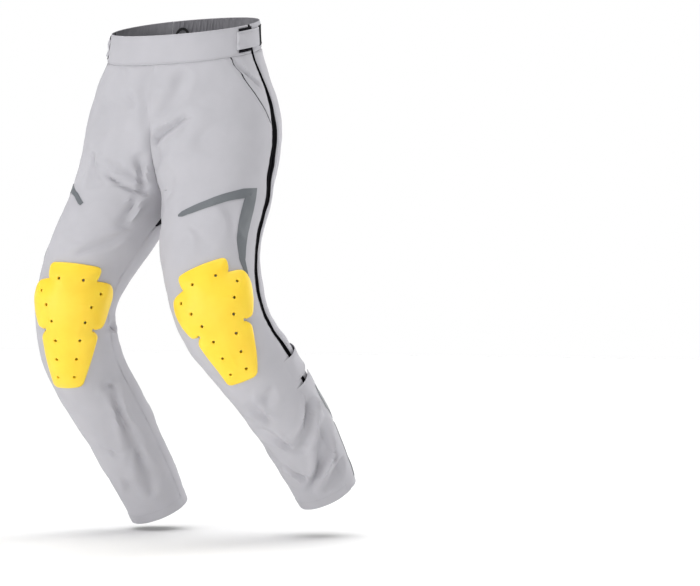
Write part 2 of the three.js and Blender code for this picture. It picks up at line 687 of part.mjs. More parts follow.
function addHangerLoop() {
  const { turn, foot, rise, half, width, depth, inside } = hangerLoop;
  const perDegree = millimetresPerDegree(RIGHT, foot, turn);
  const arch = Array.from({ length: 13 }, (_, i) => {
    const angle = Math.PI * i / 12;
    return { across: Math.cos(angle), up: Math.sin(angle) };
  });
  const face = (lift) => arch.map(({ across, up }) => [-1, 1].map((edge) => {
    const grow = edge * width / 2;
    const shiftTurn = across * (half + grow / perDegree);
    const down = foot - up * (rise + grow);
    return clothPoint(RIGHT, down, turn + shiftTurn)
      .addScaledVector(clothNormal(RIGHT, down, turn + shiftTurn), lift - (inside - WALL - SEAM) * up);
  }));
  add('hanger_loop', wall(face(-WALL - SEAM), face(-WALL - SEAM - depth)), 'tape');
}

addWaistband();
for (const leg of sides) {
  addPanels(leg);
  addGusset(leg);
  addZip(leg);
  addPocket(leg);
  addWaistTab(leg);
  addKneeTab(leg);
  addStormFlap(leg);
  addReflective(leg);
  addKneePad(leg);
}
addHangerLoop();

export default group;
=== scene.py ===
# %% [markdown]
# # Motorcycle trousers, dressed in Blender
#
# The solids of these trousers are already made and packed. Each is a plain, faceted wall of
# cloth. Here every one of them is dressed: the cloth gets its fine shape, creases and sewing,
# and each finish gets a material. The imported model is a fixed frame, so a piece that is made
# from the same sizes lands in the right place with no fitting.

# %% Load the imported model
import math

import bmesh
import bpy
import numpy as np
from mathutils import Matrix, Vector


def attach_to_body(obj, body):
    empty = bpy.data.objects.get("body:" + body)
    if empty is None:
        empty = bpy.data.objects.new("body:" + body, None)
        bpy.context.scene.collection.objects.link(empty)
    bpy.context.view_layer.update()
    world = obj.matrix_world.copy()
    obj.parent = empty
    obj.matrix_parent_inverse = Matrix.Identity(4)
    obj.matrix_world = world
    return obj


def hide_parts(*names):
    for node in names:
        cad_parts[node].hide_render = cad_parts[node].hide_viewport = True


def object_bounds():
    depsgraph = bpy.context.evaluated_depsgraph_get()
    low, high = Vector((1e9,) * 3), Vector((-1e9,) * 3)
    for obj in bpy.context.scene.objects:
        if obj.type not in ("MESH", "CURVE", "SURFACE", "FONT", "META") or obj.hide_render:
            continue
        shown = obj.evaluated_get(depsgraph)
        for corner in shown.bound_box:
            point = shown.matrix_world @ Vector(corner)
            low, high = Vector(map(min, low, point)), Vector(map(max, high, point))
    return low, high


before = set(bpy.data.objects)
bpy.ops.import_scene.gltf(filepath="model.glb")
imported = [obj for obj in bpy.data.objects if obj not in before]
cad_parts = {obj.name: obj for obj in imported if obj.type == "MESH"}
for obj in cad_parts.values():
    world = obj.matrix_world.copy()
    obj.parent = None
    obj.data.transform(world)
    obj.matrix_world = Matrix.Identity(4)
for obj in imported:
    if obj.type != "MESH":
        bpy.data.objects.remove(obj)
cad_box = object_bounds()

MM = 0.001
LEFT, RIGHT = 1, -1
SIDES = ((LEFT, "left"), (RIGHT, "right"))
print("nodes to dress:", len(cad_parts))

# %% [markdown]
# ## The form of a leg
#
# Trousers that somebody wears are two bent tubes that share a seat. A tube is easiest to
# describe as a stack of sections: where the middle of each lies, how it tips, and how far it
# reaches to the outside, the inside, the front and the back. These are the sections that the
# solids were made from, in millimetres, so the cloth made here lies on the same form.

# %% Sections from the waist to the hems
# A row: aside, y, z, pitch, lean, then out, into, front and back, and how square the section is.
SEAT_SECTIONS = [
    (0, -3, 27, 14, 0, 146, 146, 108, 112, 2.1),
    (0, -8, -27, 14, 0, 152, 152, 112, 116, 2.1),
    (6, -13, -75, 11, 0, 161, 158, 119, 127, 2.2),
    (22, -12, -130, 7, 0, 162, 152, 121, 134, 2.25),
    (46, -15, -185, 2, 1, 144, 137, 122, 134, 2.3),
    (68, -27, -232, -3, 2, 122, 116, 117, 123, 2.3),
    (84, -42, -268, -7, 3, 108, 103, 110, 110, 2.2),
    (96, -54, -298, -10, 4, 101, 97, 107, 104, 2.1),
]
LEG_SECTIONS = {
    LEFT: [
        (102, -74, -332, -13, 6, 97, 95, 103, 101, 2),
        (106, -96, -376, -16, 8, 94, 92, 98, 98, 2),
        (115, -112, -419, -15, 8, 92, 90, 92, 94, 2),
        (125, -121, -456, -9, 8, 91, 86, 87, 91, 2),
        (136, -127, -492, -2, 8, 90, 82, 84, 90, 2),
        (146, -124, -525, 7, 9, 88, 79, 82, 87, 2),
        (158, -112, -555, 15, 10, 86, 76, 80, 84, 2),
        (173, -94, -581, 23, 11, 81, 73, 77, 79, 2),
        (190, -58, -624, 32, 11, 72, 68, 71, 73, 2),
        (203, -16, -669, 36, 11, 66, 66, 68, 68, 2),
        (213, 26, -715, 36, 11, 63, 63, 65, 65, 2),
        (219, 64, -762, 33, 11, 60, 60, 62, 62, 2),
        (227, 112, -824, 29, 11, 55, 55, 58, 58, 2),
        (229, 131, -850, 26, 11, 52, 52, 56, 56, 2),
    ],
    RIGHT: [
        (107, -74, -332, -13, 7, 94, 90, 100, 100, 2),
        (122, -97, -376, -16, 10, 86, 82, 93, 94, 2),
        (141, -112, -419, -15, 11, 80, 76, 87, 89, 2),
        (154, -121, -456, -9, 9, 75, 74, 82, 83, 2),
        (163, -127, -492, -2, 6, 73, 74, 78, 80, 2),
        (167, -124, -526, 7, 2, 71, 75, 76, 78, 2),
        (170, -112, -556, 15, -2, 71, 76, 75, 76, 2),
        (171, -96, -583, 22, -5, 71, 73, 74, 74, 2),
        (171, -64, -628, 30, -9, 67, 70, 71, 70, 2),
        (161, -30, -676, 34, -11, 65, 67, 68, 67, 2),
        (152, 4, -723, 34, -11, 63, 65, 65, 65, 2),
        (144, 36, -770, 32, -11, 61, 63, 63, 63, 2),
        (132, 78, -834, 27, -11, 58, 59, 60, 60, 2),
        (123, 112, -892, 23, -11, 55, 55, 57, 57, 2),
    ],
}

print("sections down each leg:", len(SEAT_SECTIONS) + len(LEG_SECTIONS[LEFT]))


# %% Tables read smoothly between their rows
def prepare(keys, values):
    """Keys, values and slopes of a table, ready to be read smoothly between its rows."""
    keys = np.asarray(keys, float)
    values = np.asarray(values, float)
    span = np.diff(keys)
    rise = np.diff(values, axis=0) / span[:, None]
    between = (rise[:-1] * span[1:, None] + rise[1:] * span[:-1, None]) / (span[:-1] + span[1:])[:, None]
    return keys, values, np.vstack([rise[:1], between, rise[-1:]])


def read(table, at):
    """Smooth values of every column at a distance, or at an array of them."""
    keys, values, slope = table
    at = np.asarray(at, float)
    i = np.clip(np.searchsorted(keys, at, side="right") - 1, 0, len(keys) - 2)
    span = (keys[i + 1] - keys[i])[..., None]
    t = np.clip((at - keys[i])[..., None] / span, 0, 1)
    return ((2 * t**3 - 3 * t**2 + 1) * values[i] + (t**3 - 2 * t**2 + t) * span * slope[i]
            + (3 * t**2 - 2 * t**3) * values[i + 1] + (t**3 - t**2) * span * slope[i + 1])


SECTIONS, LEG_LENGTH = {}, {}
for side, name in SIDES:
    rows = np.array(SEAT_SECTIONS + LEG_SECTIONS[side], float)
    steps_down = np.linalg.norm(np.diff(rows[:, :3], axis=0), axis=1)
    SECTIONS[side] = prepare(np.concatenate([[0], np.cumsum(steps_down)]), rows)
    LEG_LENGTH[side] = SECTIONS[side][0][-1]
print("waist to hem in mm:", {name: round(LEG_LENGTH[side]) for side, name in SIDES})

# %% [markdown]
# ## Creases
#
# Stiff riding cloth breaks into a few clear folds: behind and below the knee where the leg is
# bent, across the crotch, under the gathered waist and down the shin. They are given one by one.
# Each is a line on the cloth from one place to another. A place is its distance down the leg
# and its turn round it, where 0 is the outer side, -90 the front, 90 the back and 180 the
# inner side. A negative height is a trough, and bow curves its line sideways.

# %% The crease table
# A row: down, turn, down and turn of its far end, height, width, bow.
CREASES = {
    LEFT: [
        (68, -65, 168, -93, -4, 10, 4), (150, -62, 262, -84, 2, 20, 0), (168, -72, 276, -126, -7, 10, -5),
        (236, -96, 312, -140, -5.5, 10, 4), (62, -29, 124, -3, -3.4, 6, 1),
        (330, -128, 420, -148, -3.5, 14, 0), (306, -103, 376, -126, -2, 11, 3),
        (392, -46, 470, -33, -2.4, 14, 4), (440, -84, 492, -60, -1.8, 12, 0),
        (724, -46, 750, -76, -3.4, 9, 3), (740, -98, 796, -78, -4.5, 13, 4), (786, -2, 880, -70, -7, 13, 6),
        (806, 4, 884, -50, 4.5, 11, 6), (846, -2, 982, -84, -7, 13, 8), (880, 4, 976, -58, 3.5, 10, 6),
        (946, 4, 988, -58, -5, 10, 3), (800, -110, 868, -74, -5, 10, 4), (900, -110, 966, -72, -5, 10, 4),
        (850, -120, 930, -134, -3, 10, 3), (56, 73, 122, 74, -5, 7, 2), (56, 83, 134, 84, -5.6, 7, -2),
        (56, 66, 98, 64, -3.4, 5, 1), (82, 42, 150, 58, -3.4, 13, 3), (125, 66, 180, 73, -3.1, 12, 2),
        (150, 86, 284, 121, -6.3, 7, 2), (237, 95, 297, 124, -5.6, 6, -3), (272, 62, 356, 134, -7, 9, 4),
        (323, 104, 356, 132, -3.6, 6, 2), (343, 106, 394, 164, -7, 9, 6), (352, 66, 440, 122, 4.2, 18, 0),
        (478, 78, 525, 114, -4, 12, 4), (513, 136, 542, 124, -2, 9, 0), (590, 116, 554, 158, -5.6, 10, 4),
        (612, 84, 580, 128, 3.6, 11, 0), (694, 160, 644, 178, -4.2, 9, 0), (560, 40, 600, 84, -4.2, 13, 5),
        (650, 150, 600, 178, -4.2, 11, 3), (790, 120, 880, 138, -3.4, 13, 0),
    ],
    RIGHT: [
        (60, -58, 145, -86, -5, 15, 5), (66, -87, 200, -99, -3, 10, 3), (120, -84, 290, -112, 3, 18, 0),
        (160, -60, 260, -74, -2, 14, 4), (256, -106, 345, -142, -5, 11, 4),
        (254, -64, 350, -90, -4.5, 12, 5), (276, -78, 326, -122, 3.6, 9, 8),
        (292, -80, 340, -124, -3.6, 7, 9), (336, -104, 342, -142, -3, 7, 3),
        (328, -112, 334, -138, 2, 6, 2), (346, -146, 416, -149, 2.2, 9, 3),
        (352, -136, 424, -142, -2.6, 10, 3), (490, -106, 428, -152, -3.4, 8, 3),
        (484, -74, 470, -108, -1.4, 11, -3), (728, -154, 910, -137, -5, 14, 5),
        (876, -141, 992, -126, -4.5, 12, -3), (716, -140, 742, -160, -3, 8, 2),
        (842, -84, 878, -116, -2.6, 10, 3), (925, -90, 990, -104, -3, 11, 3), (56, 80, 146, 82, -4.4, 8, 3),
        (56, 76, 96, 80, -4.2, 5, 0), (56, 67, 92, 68, -3.4, 5, 1), (56, 59, 98, 51, -5, 5, 3),
        (150, 86, 284, 121, -6.3, 7, 2), (280, 83, 376, 107, -5.6, 10, 3), (260, 41, 382, 96, -5.6, 13, 6),
        (215, 30, 284, 27, -3.6, 13, 4), (346, 64, 440, 118, 4.2, 18, 0), (450, 14, 532, 56, -5, 9, -5),
        (527, 115, 538, 28, -7, 11, 5), (574, 42, 551, 6, -4.5, 9, 3), (588, 138, 587, 92, -4.2, 7, 2),
        (645, 134, 625, 44, -9.1, 8, 9), (632, 118, 612, 60, 4.2, 8, 6), (662, 132, 628, 68, -7.7, 7, -6),
        (665, 76, 632, 33, -7.7, 7, -5), (677, 78, 676, 53, -4.2, 6, 3), (614, 35, 602, 22, -3, 6, 0),
        (560, 44, 600, 84, -3.4, 12, 4), (650, 150, 604, 178, -4.2, 10, 3), (636, 128, 617, 42, 4, 8, 8),
        (654, 126, 630, 62, 3.6, 7, -5), (541, 112, 552, 38, 4, 10, 5), (602, 112, 590, 56, 3.4, 8, 3),
        (806, 66, 892, 55, -3.4, 12, 3), (776, 118, 880, 134, -3.4, 12, 0),
    ],
}
print("creases:", {name: len(CREASES[side]) for side, name in SIDES})

# %% How far creases and waves lift the cloth
CREASE_GAIN = 1.85    # deepens every crease alike
LIP = 0.32            # a fold throws up a lip on each side, this share of its depth
WAVE_HEIGHT = 0.7     # mm, the slight waves of cloth that nothing pulls flat
KNEE_PAD_PLACE = {LEFT: (504, 712, -71), RIGHT: (507, 712, -109)}    # top, foot, turn of its middle
PAD_HALF, PAD_FADE, PAD_FADE_ASIDE = 50, 14, 12                      # degrees, mm, degrees


def wrap(turn):
    return (turn + 180) % 360 - 180


def calm_under_pad(side, down, turn):
    """0 under a knee pad, which presses the cloth flat, and 1 well away from it."""
    top, foot, middle = KNEE_PAD_PLACE[side]
    over = np.clip(np.maximum(top - down, down - foot) / PAD_FADE, 0, 1)
    aside = np.clip((np.abs(wrap(turn - middle)) - PAD_HALF) / PAD_FADE_ASIDE, 0, 1)
    return np.maximum(over, aside)


def crease_height(side, down, turn, radius):
    """How far the creases lift the cloth, in mm."""
    per_degree = radius * math.radians(1)
    total = np.zeros(np.broadcast(down, turn).shape)
    for number, row in enumerate(CREASES[side]):
        from_down, from_turn, to_down, to_turn, height, width, bow = row
        across = wrap(turn - from_turn) * per_degree
        along = down - from_down
        line_across = (to_turn - from_turn) * per_degree
        line_along = to_down - from_down
        length = np.sqrt(line_across**2 + line_along**2)
        t = (across * line_across + along * line_along) / length**2
        inside = np.clip(t, 0, 1)
        swing = np.sin(np.pi * inside)
        gap = (across * line_along - along * line_across) / length - bow * swing
        gap = gap + 0.12 * width * np.sin(9 * inside + number)
        spread = width * (0.8 + 0.35 * np.sin(5 * inside + 2 * number))
        near = np.hypot(gap, (t - inside) * length) / spread
        uneven = 1 + 0.22 * np.sin(7 * inside + 1.7 * number)
        shape = np.exp(-near**2) - LIP * np.exp(-((near - 1.9) / 0.8) ** 2)
        total += height * uneven * np.sqrt(swing) * shape
    return CREASE_GAIN * total


def wave_height(side, down, turn, radius):
    """Slight uneven waves all over the cloth, in mm."""
    around = turn * radius * math.radians(1)
    long_waves = (np.sin(down / 19 + 1.3 * np.sin(around / 31) + side)
                  * np.sin(around / 23 + 1.1 * np.sin(down / 37) + 2 * side))
    short_waves = (np.sin(down / 8.5 + around / 13 + 1.4 * np.sin(around / 17))
                   * np.sin(around / 11 - down / 29))
    return WAVE_HEIGHT * (long_waves + 0.5 * short_waves)


print("lift in the first crease on the left, mm:", round(float(crease_height(LEFT, 118, -79, 120)), 1))

# %% Any point on the cloth
BAND_HEIGHT = 54
MIDDLE_SEAM = 11                               # mm beside the middle seam, which stays shut
SEAM_SINK, FORK_SINK, FORK_REACH = 1.6, 5, 36    # the middle seam lies in a hollow
FORK_FRONT, FORK_BACK = 292, 262               # where that hollow is deepest, in mm down


def cloth_point(side, down, turn, creased=True):
    """The outer face of the cloth at a place, in mm."""
    down, turn = np.broadcast_arrays(np.asarray(down, float), np.asarray(turn, float))
    values = np.moveaxis(read(SECTIONS[side], down), -1, 0)
    aside, y, z, pitch, lean, out, into, front, back, square = values
    angle, pitch, lean = np.radians(turn), np.radians(pitch), np.radians(lean)
    c, d = np.cos(angle), np.sin(angle)
    wide = np.where(c >= 0, out, into) * np.sign(c) * np.abs(c) ** (2 / square)
    deep = np.where(d >= 0, back, front) * np.sign(d) * np.abs(d) ** (2 / square)
    radius = np.hypot(wide, deep)
    if creased:
        below_band = np.clip((down - BAND_HEIGHT) / 6, 0, 1)
        off_middle = np.clip((aside + wide * np.cos(lean)) / MIDDLE_SEAM, 0, 1)
        lift = crease_height(side, down, turn, radius) + wave_height(side, down, turn, radius)
        lift = lift * calm_under_pad(side, down, turn)
        from_fork = (down - np.where(turn < 0, FORK_FRONT, FORK_BACK)) / FORK_REACH
        middle_lift = -SEAM_SINK - FORK_SINK * np.exp(-(from_fork**2))
        wide = wide * (1 + lift * below_band * off_middle / radius)
        deep = deep * (1 + (lift * off_middle + middle_lift * (1 - off_middle)) * below_band / radius)
    return np.stack([
        side * (aside + wide * np.cos(lean)),
        y + deep * np.cos(pitch),
        z + deep * np.sin(pitch) + wide * np.sin(lean),
    ], -1)


def cloth_normal(side, down, turn, creased=True):
    """The direction straight out of the cloth at a place."""
    points = [cloth_point(side, down + d, turn + t, creased) for d, t in ((0, 0.8), (0, -0.8), (1, 0))]
    above = cloth_point(side, np.maximum(0, down - 1), turn, creased)
    normal = side * np.cross(points[2] - above, points[0] - points[1])
    return normal / np.maximum(np.linalg.norm(normal, axis=-1, keepdims=True), 1e-9)


def mm_per_degree(side, down, turn):
    step = cloth_point(side, down, turn + 1, False) - cloth_point(side, down, turn - 1, False)
    return np.linalg.norm(step, axis=-1) / 2


def shifted(side, down, turn, offset):
    """The turn of a line that keeps a distance in mm from another."""
    return turn + offset / mm_per_degree(side, down, turn)


print("mm for a degree at the left knee:", round(float(mm_per_degree(LEFT, 600, 0)), 2))

# %% [markdown]
# ## Where the panels are cut
#
# A leg is a front and a back that meet at the inner seam. On the outer side a long zip lies
# between them, so that the trousers can be put on over boots. The front is cut away at the hand
# pocket. These functions give the edges, as the turn of each seam at a distance down the leg.

# %% Seam lines
SEAM_GAP = 0.3
ZIP_LINE = prepare(
    [0, 54, 103, 160, 230, 300, 360, 420, 470, 530, 600, 700, 800, 1060],
    [(-8, 5), (-4, 5), (1, 7), (3, 14), (5, 21), (7, 22), (9, 20),
     (12, 17), (8, 15), (1, 12), (2, 11), (6, 11), (8, 9), (10, 8)])   # turn, width in mm
POCKET_TOP_TURN, POCKET_FOOT = -31, 200
# The left mouth stands open 2.4 mm so that the black pocket bag shows in it as a dark line, painted shade of
# the pocket mouth. The right one gapes and shows its bag.
POCKET_MOUTH = {LEFT: 2.4, RIGHT: 12}      # how far the mouth stands open, mm


def zip_turn(down):
    return read(ZIP_LINE, down)[..., 0]


def beside_zip(side, down, way, gap=SEAM_GAP):
    return shifted(side, down, zip_turn(down), way * (read(ZIP_LINE, down)[..., 1] / 2 + gap))


def before_zip(side, down, gap=SEAM_GAP):
    return beside_zip(side, down, -1, gap)


def behind_zip(side, down, gap=SEAM_GAP):
    return beside_zip(side, down, 1, gap)


def pocket_turn(down):
    share = (down - BAND_HEIGHT) / (POCKET_FOOT - BAND_HEIGHT)
    return POCKET_TOP_TURN + (zip_turn(POCKET_FOOT) - 3 - POCKET_TOP_TURN) * share


def front_edge(side, down):
    edge = before_zip(side, down)
    return np.where(down < POCKET_FOOT, np.minimum(edge, pocket_turn(down)), edge)


print("zip at the knee, turn:", round(float(zip_turn(600)), 1), "pocket at its top:", POCKET_TOP_TURN)

# %% The inner seam and the gusset
GUSSET = dict(top=286, widest=338, foot=398, width=50, end=3)


def inner_turn(side, down, gap=SEAM_GAP):
    """Where a section meets the middle of the body, or the inner seam lower down."""
    aside, lean, into, square = np.moveaxis(read(SECTIONS[side], down)[..., [0, 4, 6, 9]], -1, 0)
    share = (aside - gap / 2) / (into * np.cos(np.radians(lean)))
    turn = 180 - np.degrees(np.arccos(np.clip(share, 0, 1) ** (square / 2)))
    seam = 180 - gap / 2 / mm_per_degree(side, down, 180)
    return np.where(share <= 0, 90, np.where(share < 1, turn, seam))


def gusset_turn(side, down):
    """How much of the back the black gusset takes, in degrees."""
    share = np.where(
        down < GUSSET["widest"],
        (down - GUSSET["top"]) / (GUSSET["widest"] - GUSSET["top"]),
        (GUSSET["foot"] - down) / (GUSSET["foot"] - GUSSET["widest"]))
    width = GUSSET["end"] + (GUSSET["width"] - GUSSET["end"]) * np.sin(np.clip(share, 0, 1) * np.pi / 2)
    place = np.minimum(inner_turn(side, down), 170)
    inside = (down > GUSSET["top"]) & (down < GUSSET["foot"])
    return np.where(inside, width / mm_per_degree(side, down, place), 0)


print("gusset at its widest, degrees:", round(float(gusset_turn(LEFT, GUSSET["widest"])), 1))

# %% [markdown]
# ## Making a piece of cloth
#
# Cloth has two faces and a thin rim, so each piece is a closed sheet: a grid of points for the
# outer face, the same grid moved in for the other, and a strip round the edge. Rows and columns
# crowd together near an edge, where the cloth rolls over its seam and the thread puckers it.
# The grid also gives each piece a cloth map: how far a point lies across and down the piece, in
# metres. The weave in the materials follows it, as real yarns follow the cut of a piece.

# %% Meshes from points
pieces, grids = {}, {}


def finish_mesh(name, verts, faces, uvs=None, sharp_angle=40):
    """A mesh object from points in mm, smooth but for its sharp edges."""
    mesh = bpy.data.meshes.new(name)
    mesh.from_pydata((np.asarray(verts) * MM).tolist(), [], faces)
    if uvs is not None:
        layer = mesh.uv_layers.new(name="cloth")
        corner = np.empty(len(mesh.loops), dtype=np.int64)
        mesh.loops.foreach_get("vertex_index", corner)
        layer.data.foreach_set("uv", np.asarray(uvs)[corner].astype(np.float32).ravel())
    work = bmesh.new()
    work.from_mesh(mesh)
    bmesh.ops.recalc_face_normals(work, faces=work.faces)
    for face in work.faces:
        face.smooth = True
    limit = math.radians(sharp_angle)
    for edge in work.edges:
        if len(edge.link_faces) == 2 and edge.calc_face_angle(0) > limit:
            edge.smooth = False
    work.to_mesh(mesh)
    work.free()
    piece = bpy.data.objects.new(name, mesh)
    bpy.context.collection.objects.link(piece)
    pieces[name] = piece
    return piece


def two_faced(name, outer, inner, uv=None, sharp_angle=40):
    """A closed sheet from the grids of its two faces: quads on both, and a rim that joins them."""
    high, wide = outer.shape[:2]
    index = np.arange(2 * high * wide).reshape(2, high, wide)
    front, back = index
    quads = [
        np.stack([front[:-1, :-1], front[1:, :-1], front[1:, 1:], front[:-1, 1:]], -1).reshape(-1, 4),
        np.stack([back[:-1, :-1], back[:-1, 1:], back[1:, 1:], back[1:, :-1]], -1).reshape(-1, 4),
    ]
    loop = np.concatenate([front[0], front[1:, -1], front[-1, -2::-1], front[-2:0:-1, 0]])
    after = np.roll(loop, -1)
    quads.append(np.stack([loop, after, after + high * wide, loop + high * wide], -1))
    verts = np.vstack([outer.reshape(-1, 3), inner.reshape(-1, 3)])
    uvs = None if uv is None else np.tile(uv.reshape(-1, 2) * MM, (2, 1))
    return finish_mesh(name, verts, np.vstack(quads).tolist(), uvs, sharp_angle)


print("pieces so far:", len(pieces))


# %% Grids that crowd near the edges
def crowded(start, end, step, fine=(0, 0.5, 1.4, 3.2, 6)):
    """Values from start to end, evenly apart by about a step but crowded at both ends."""
    length = end - start
    edge = np.array([v for v in fine if v < length * 0.3])
    middle = np.linspace(edge[-1], length - edge[-1], max(2, round((length - 2 * edge[-1]) / step) + 1))
    return start + np.concatenate([edge[:-1], middle, length - edge[-2::-1]])


def grid_turns(side, downs, start, end, step):
    """Turns between two edges for each row, crowded near both, for an even cut."""
    widest = 0
    for at in (downs[0], downs[len(downs) // 2], downs[-1]):
        first, last = start(side, at), end(side, at)
        widest = max(widest, float((last - first) * mm_per_degree(side, at, (first + last) / 2)))
    first, last = start(side, downs)[:, None], end(side, downs)[:, None]
    return first + (last - first) * crowded(0, widest, step) / widest


print("rows of a 54 mm band:", np.round(crowded(0, 54, 9.0), 1))


# %% Distances from the edges, and the flat size
def rim_share(distance, roll=1.3):
    """How thick the rim is: it rounds off over the last millimetre or so."""
    near = np.clip(distance / roll, 0, 1)
    return 0.25 + 0.75 * np.sqrt(1 - (1 - near) ** 2)


def distances(middle):
    """Distance of each grid point from the four edges of its piece, and its place on it."""
    across = np.linalg.norm(np.diff(middle, axis=1), axis=-1)
    across = np.hstack([np.zeros((len(middle), 1)), np.cumsum(across, axis=1)])
    along = np.linalg.norm(np.diff(middle, axis=0), axis=-1)
    along = np.vstack([np.zeros((1, middle.shape[1])), np.cumsum(along, axis=0)])
    width, height = across[:, -1:], along[-1:, :]
    return dict(start=across, end=width - across, top=along, foot=height - along,
                across=across - width / 2, along=along)


def cut_of(face):
    """Width, length and area of a piece laid flat, in metres, from the points of one face."""
    width = np.linalg.norm(np.diff(face, axis=1), axis=-1).sum(axis=1).max() * MM
    length = np.linalg.norm(np.diff(face, axis=0), axis=-1).sum(axis=0).max() * MM
    quads = np.cross(face[1:, 1:] - face[:-1, :-1], face[1:, :-1] - face[:-1, 1:])
    area = np.linalg.norm(quads, axis=-1).sum() / 2 * MM**2
    return [float(width), float(length), float(min(area, width * length))]


print("rim of a sheet at 0, 0.5 and 2 mm:", np.round(rim_share(np.array([0, 0.5, 2])), 2))

# %% Closed sheets with sewn edges
SEAM_DIP, SEAM_REACH, PUCKER_REACH = 0.7, 2.2, 7.5     # mm


def sewn_edges(away, sewn, pull, seed, shown):
    """What thread does to the cloth beside its seams: it sinks, and puckers crosswise."""
    height = np.zeros_like(away["along"])
    for number, edge in enumerate(sewn, seed):
        other = away["along" if edge in ("start", "end") else "across"]
        ripple = np.sin(other / 2.3 + 2.1 * np.sin(other / 17 + number))
        ripple = pull * ripple * (0.6 + 0.4 * np.sin(other / 29 + 2 * number))
        seam = ripple * np.exp(-((away[edge] / PUCKER_REACH) ** 2))
        seam -= SEAM_DIP * np.exp(-((away[edge] / SEAM_REACH) ** 2))
        height += seam * (shown if edge == "start" else 1)
    return height


def close_sheet(name, base, normal, downs, lift, thick, sewn, extra, pull, seed, hidden=None):
    """Moves both faces of a sheet off the cloth, shapes its seams and rounds its rim."""
    away = dict(distances(base), down=downs)
    shown = np.clip((downs - hidden) / 30, 0.1, 1) if hidden else 1
    if callable(lift):
        lift = lift(away["start"] / (away["start"] + away["end"]))
    middle = lift + thick / 2 + sewn_edges(away, sewn, pull, seed, shown) + (extra(away) if extra else 0)
    ends = np.minimum(away["start"] + (2 if hidden else 0), away["end"])
    half = thick / 2 * np.minimum(rim_share(ends), rim_share(np.minimum(away["top"], away["foot"])))
    outer, inner = (base + normal * (middle + way * half)[..., None] for way in (1, -1))
    piece = two_faced(name, outer, inner, np.stack([away["across"], -away["along"]], -1))
    grids[name] = middle.shape
    piece["cut"] = cut_of(outer)
    return piece


def sheet(name, side, downs, start, end, step, lift, thick, sewn=(), extra=None, pull=0.35, hidden=None):
    """A closed sheet on one leg between two edges. lift is where its inner face lies.

    sewn names the edges that a seam holds: start, end, top or foot. hidden is a distance down
    above which the seam at the start is pressed flat, so that it hardly shows."""
    turns = grid_turns(side, downs, start, end, step)
    downs = np.repeat(downs[:, None], turns.shape[1], axis=1)
    base, normal = cloth_point(side, downs, turns), cloth_normal(side, downs, turns)
    return close_sheet(name, base, normal, downs, lift, thick, sewn, extra, pull, 3 * side, hidden)


print("a seam sinks by mm:", SEAM_DIP, "and puckers as far as:", PUCKER_REACH)


# %% What a piece stands for
def attach(piece, node=None):
    """A piece rides on the one body, and may stand for a solid."""
    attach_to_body(piece, "root")
    if node:
        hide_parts(node)


def dress(piece, node):
    """Say which solid a piece of cloth stands for, and drop the size that it was cut to."""
    attach(piece, node)
    del piece["cut"]


print("every piece rides on the body root")


# %% [markdown]
# ## Panels, gussets and the waistband
#
# The shell cloth is the light grey of the whole garment. Each panel is cut and sewn on its own,
# so each is a piece of its own, a hair apart from the next. Only the edges that a seam holds
# sink and pucker. The back of the waistband is gathered on wide elastic that is sewn through
# along its middle, so its gathers are uneven and pinch in there.

# %% Leg panels
WALL, THIN, FILM, REST = 1.6, 1.2, 0.6, 0.9
ROW_STEP, COLUMN_STEP = ((4.5, 5.0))
BAND_TOP = BAND_HEIGHT + SEAM_GAP


def constant(turn):
    return lambda side, down: np.full(np.shape(down), float(turn))


def hem_fold(away):
    """The hem is turned up and sewn, which leaves a slight step above it."""
    return 0.5 * np.clip((23.5 - away["foot"]) / 3, 0, 1) - 0.5 * np.exp(-(((away["foot"] - 22) / 2) ** 2))


def front_start(side, down):
    return -inner_turn(side, down, 0.06)


def back_end(side, down):
    return inner_turn(side, down) - gusset_turn(side, down)


for side, name in SIDES:
    downs = crowded(BAND_TOP, LEG_LENGTH[side], ROW_STEP)
    sewn = ("start", "end", "top")
    front = sheet(f"front_panel_{name}", side, downs, front_start, front_edge, COLUMN_STEP,
                  -WALL, WALL, sewn, hem_fold, hidden=190)
    dress(front, f"front_{name}")
    back = sheet(f"back_panel_{name}", side, downs, behind_zip, back_end, COLUMN_STEP,
                 -WALL, WALL, sewn, hem_fold)
    dress(back, f"back_{name}")
print("leg panels:", len(pieces))


# %% Crotch gussets
def gusset_start(side, down):
    clear = SEAM_GAP / mm_per_degree(side, down, np.minimum(inner_turn(side, down), 170))
    return back_end(side, down) + clear


for side, name in SIDES:
    downs = crowded(GUSSET["top"] + 1, GUSSET["foot"] - 1, ROW_STEP)
    gusset = sheet(f"stretch_gusset_{name}", side, downs, gusset_start, inner_turn, COLUMN_STEP,
                   -WALL, WALL, ("start", "end"), pull=0.2)
    dress(gusset, f"crotch_gusset_{name}")

# %% Waistband
ELASTIC_HALF = 32
ELASTIC_SEAM = BAND_HEIGHT * 0.52
band_rows = crowded(0, BAND_HEIGHT, 3.0)


def two_sided(name, middle, end, step, sewn, extra=None):
    """One sheet across the middle of the body, made of a right and a left half."""
    halves = []
    columns = crowded(0, 1, step / 200, fine=(0, 0.002, 0.006, 0.014, 0.03))
    for side, first, last, share in ((RIGHT, end, middle, columns[columns <= 0.5] * 2),
                                     (LEFT, middle, end, columns[columns >= 0.5] * 2 - 1)):
        first, last = first(side, band_rows)[:, None], last(side, band_rows)[:, None]
        turns = first + (last - first) * share
        downs = np.repeat(band_rows[:, None], turns.shape[1], axis=1)
        halves.append((cloth_point(side, downs, turns), cloth_normal(side, downs, turns), downs))
    base, normal, downs = (np.hstack(pair) for pair in zip(*halves))
    return close_sheet(name, base, normal, downs, -WALL, WALL, sewn, extra, 0.3, 5)


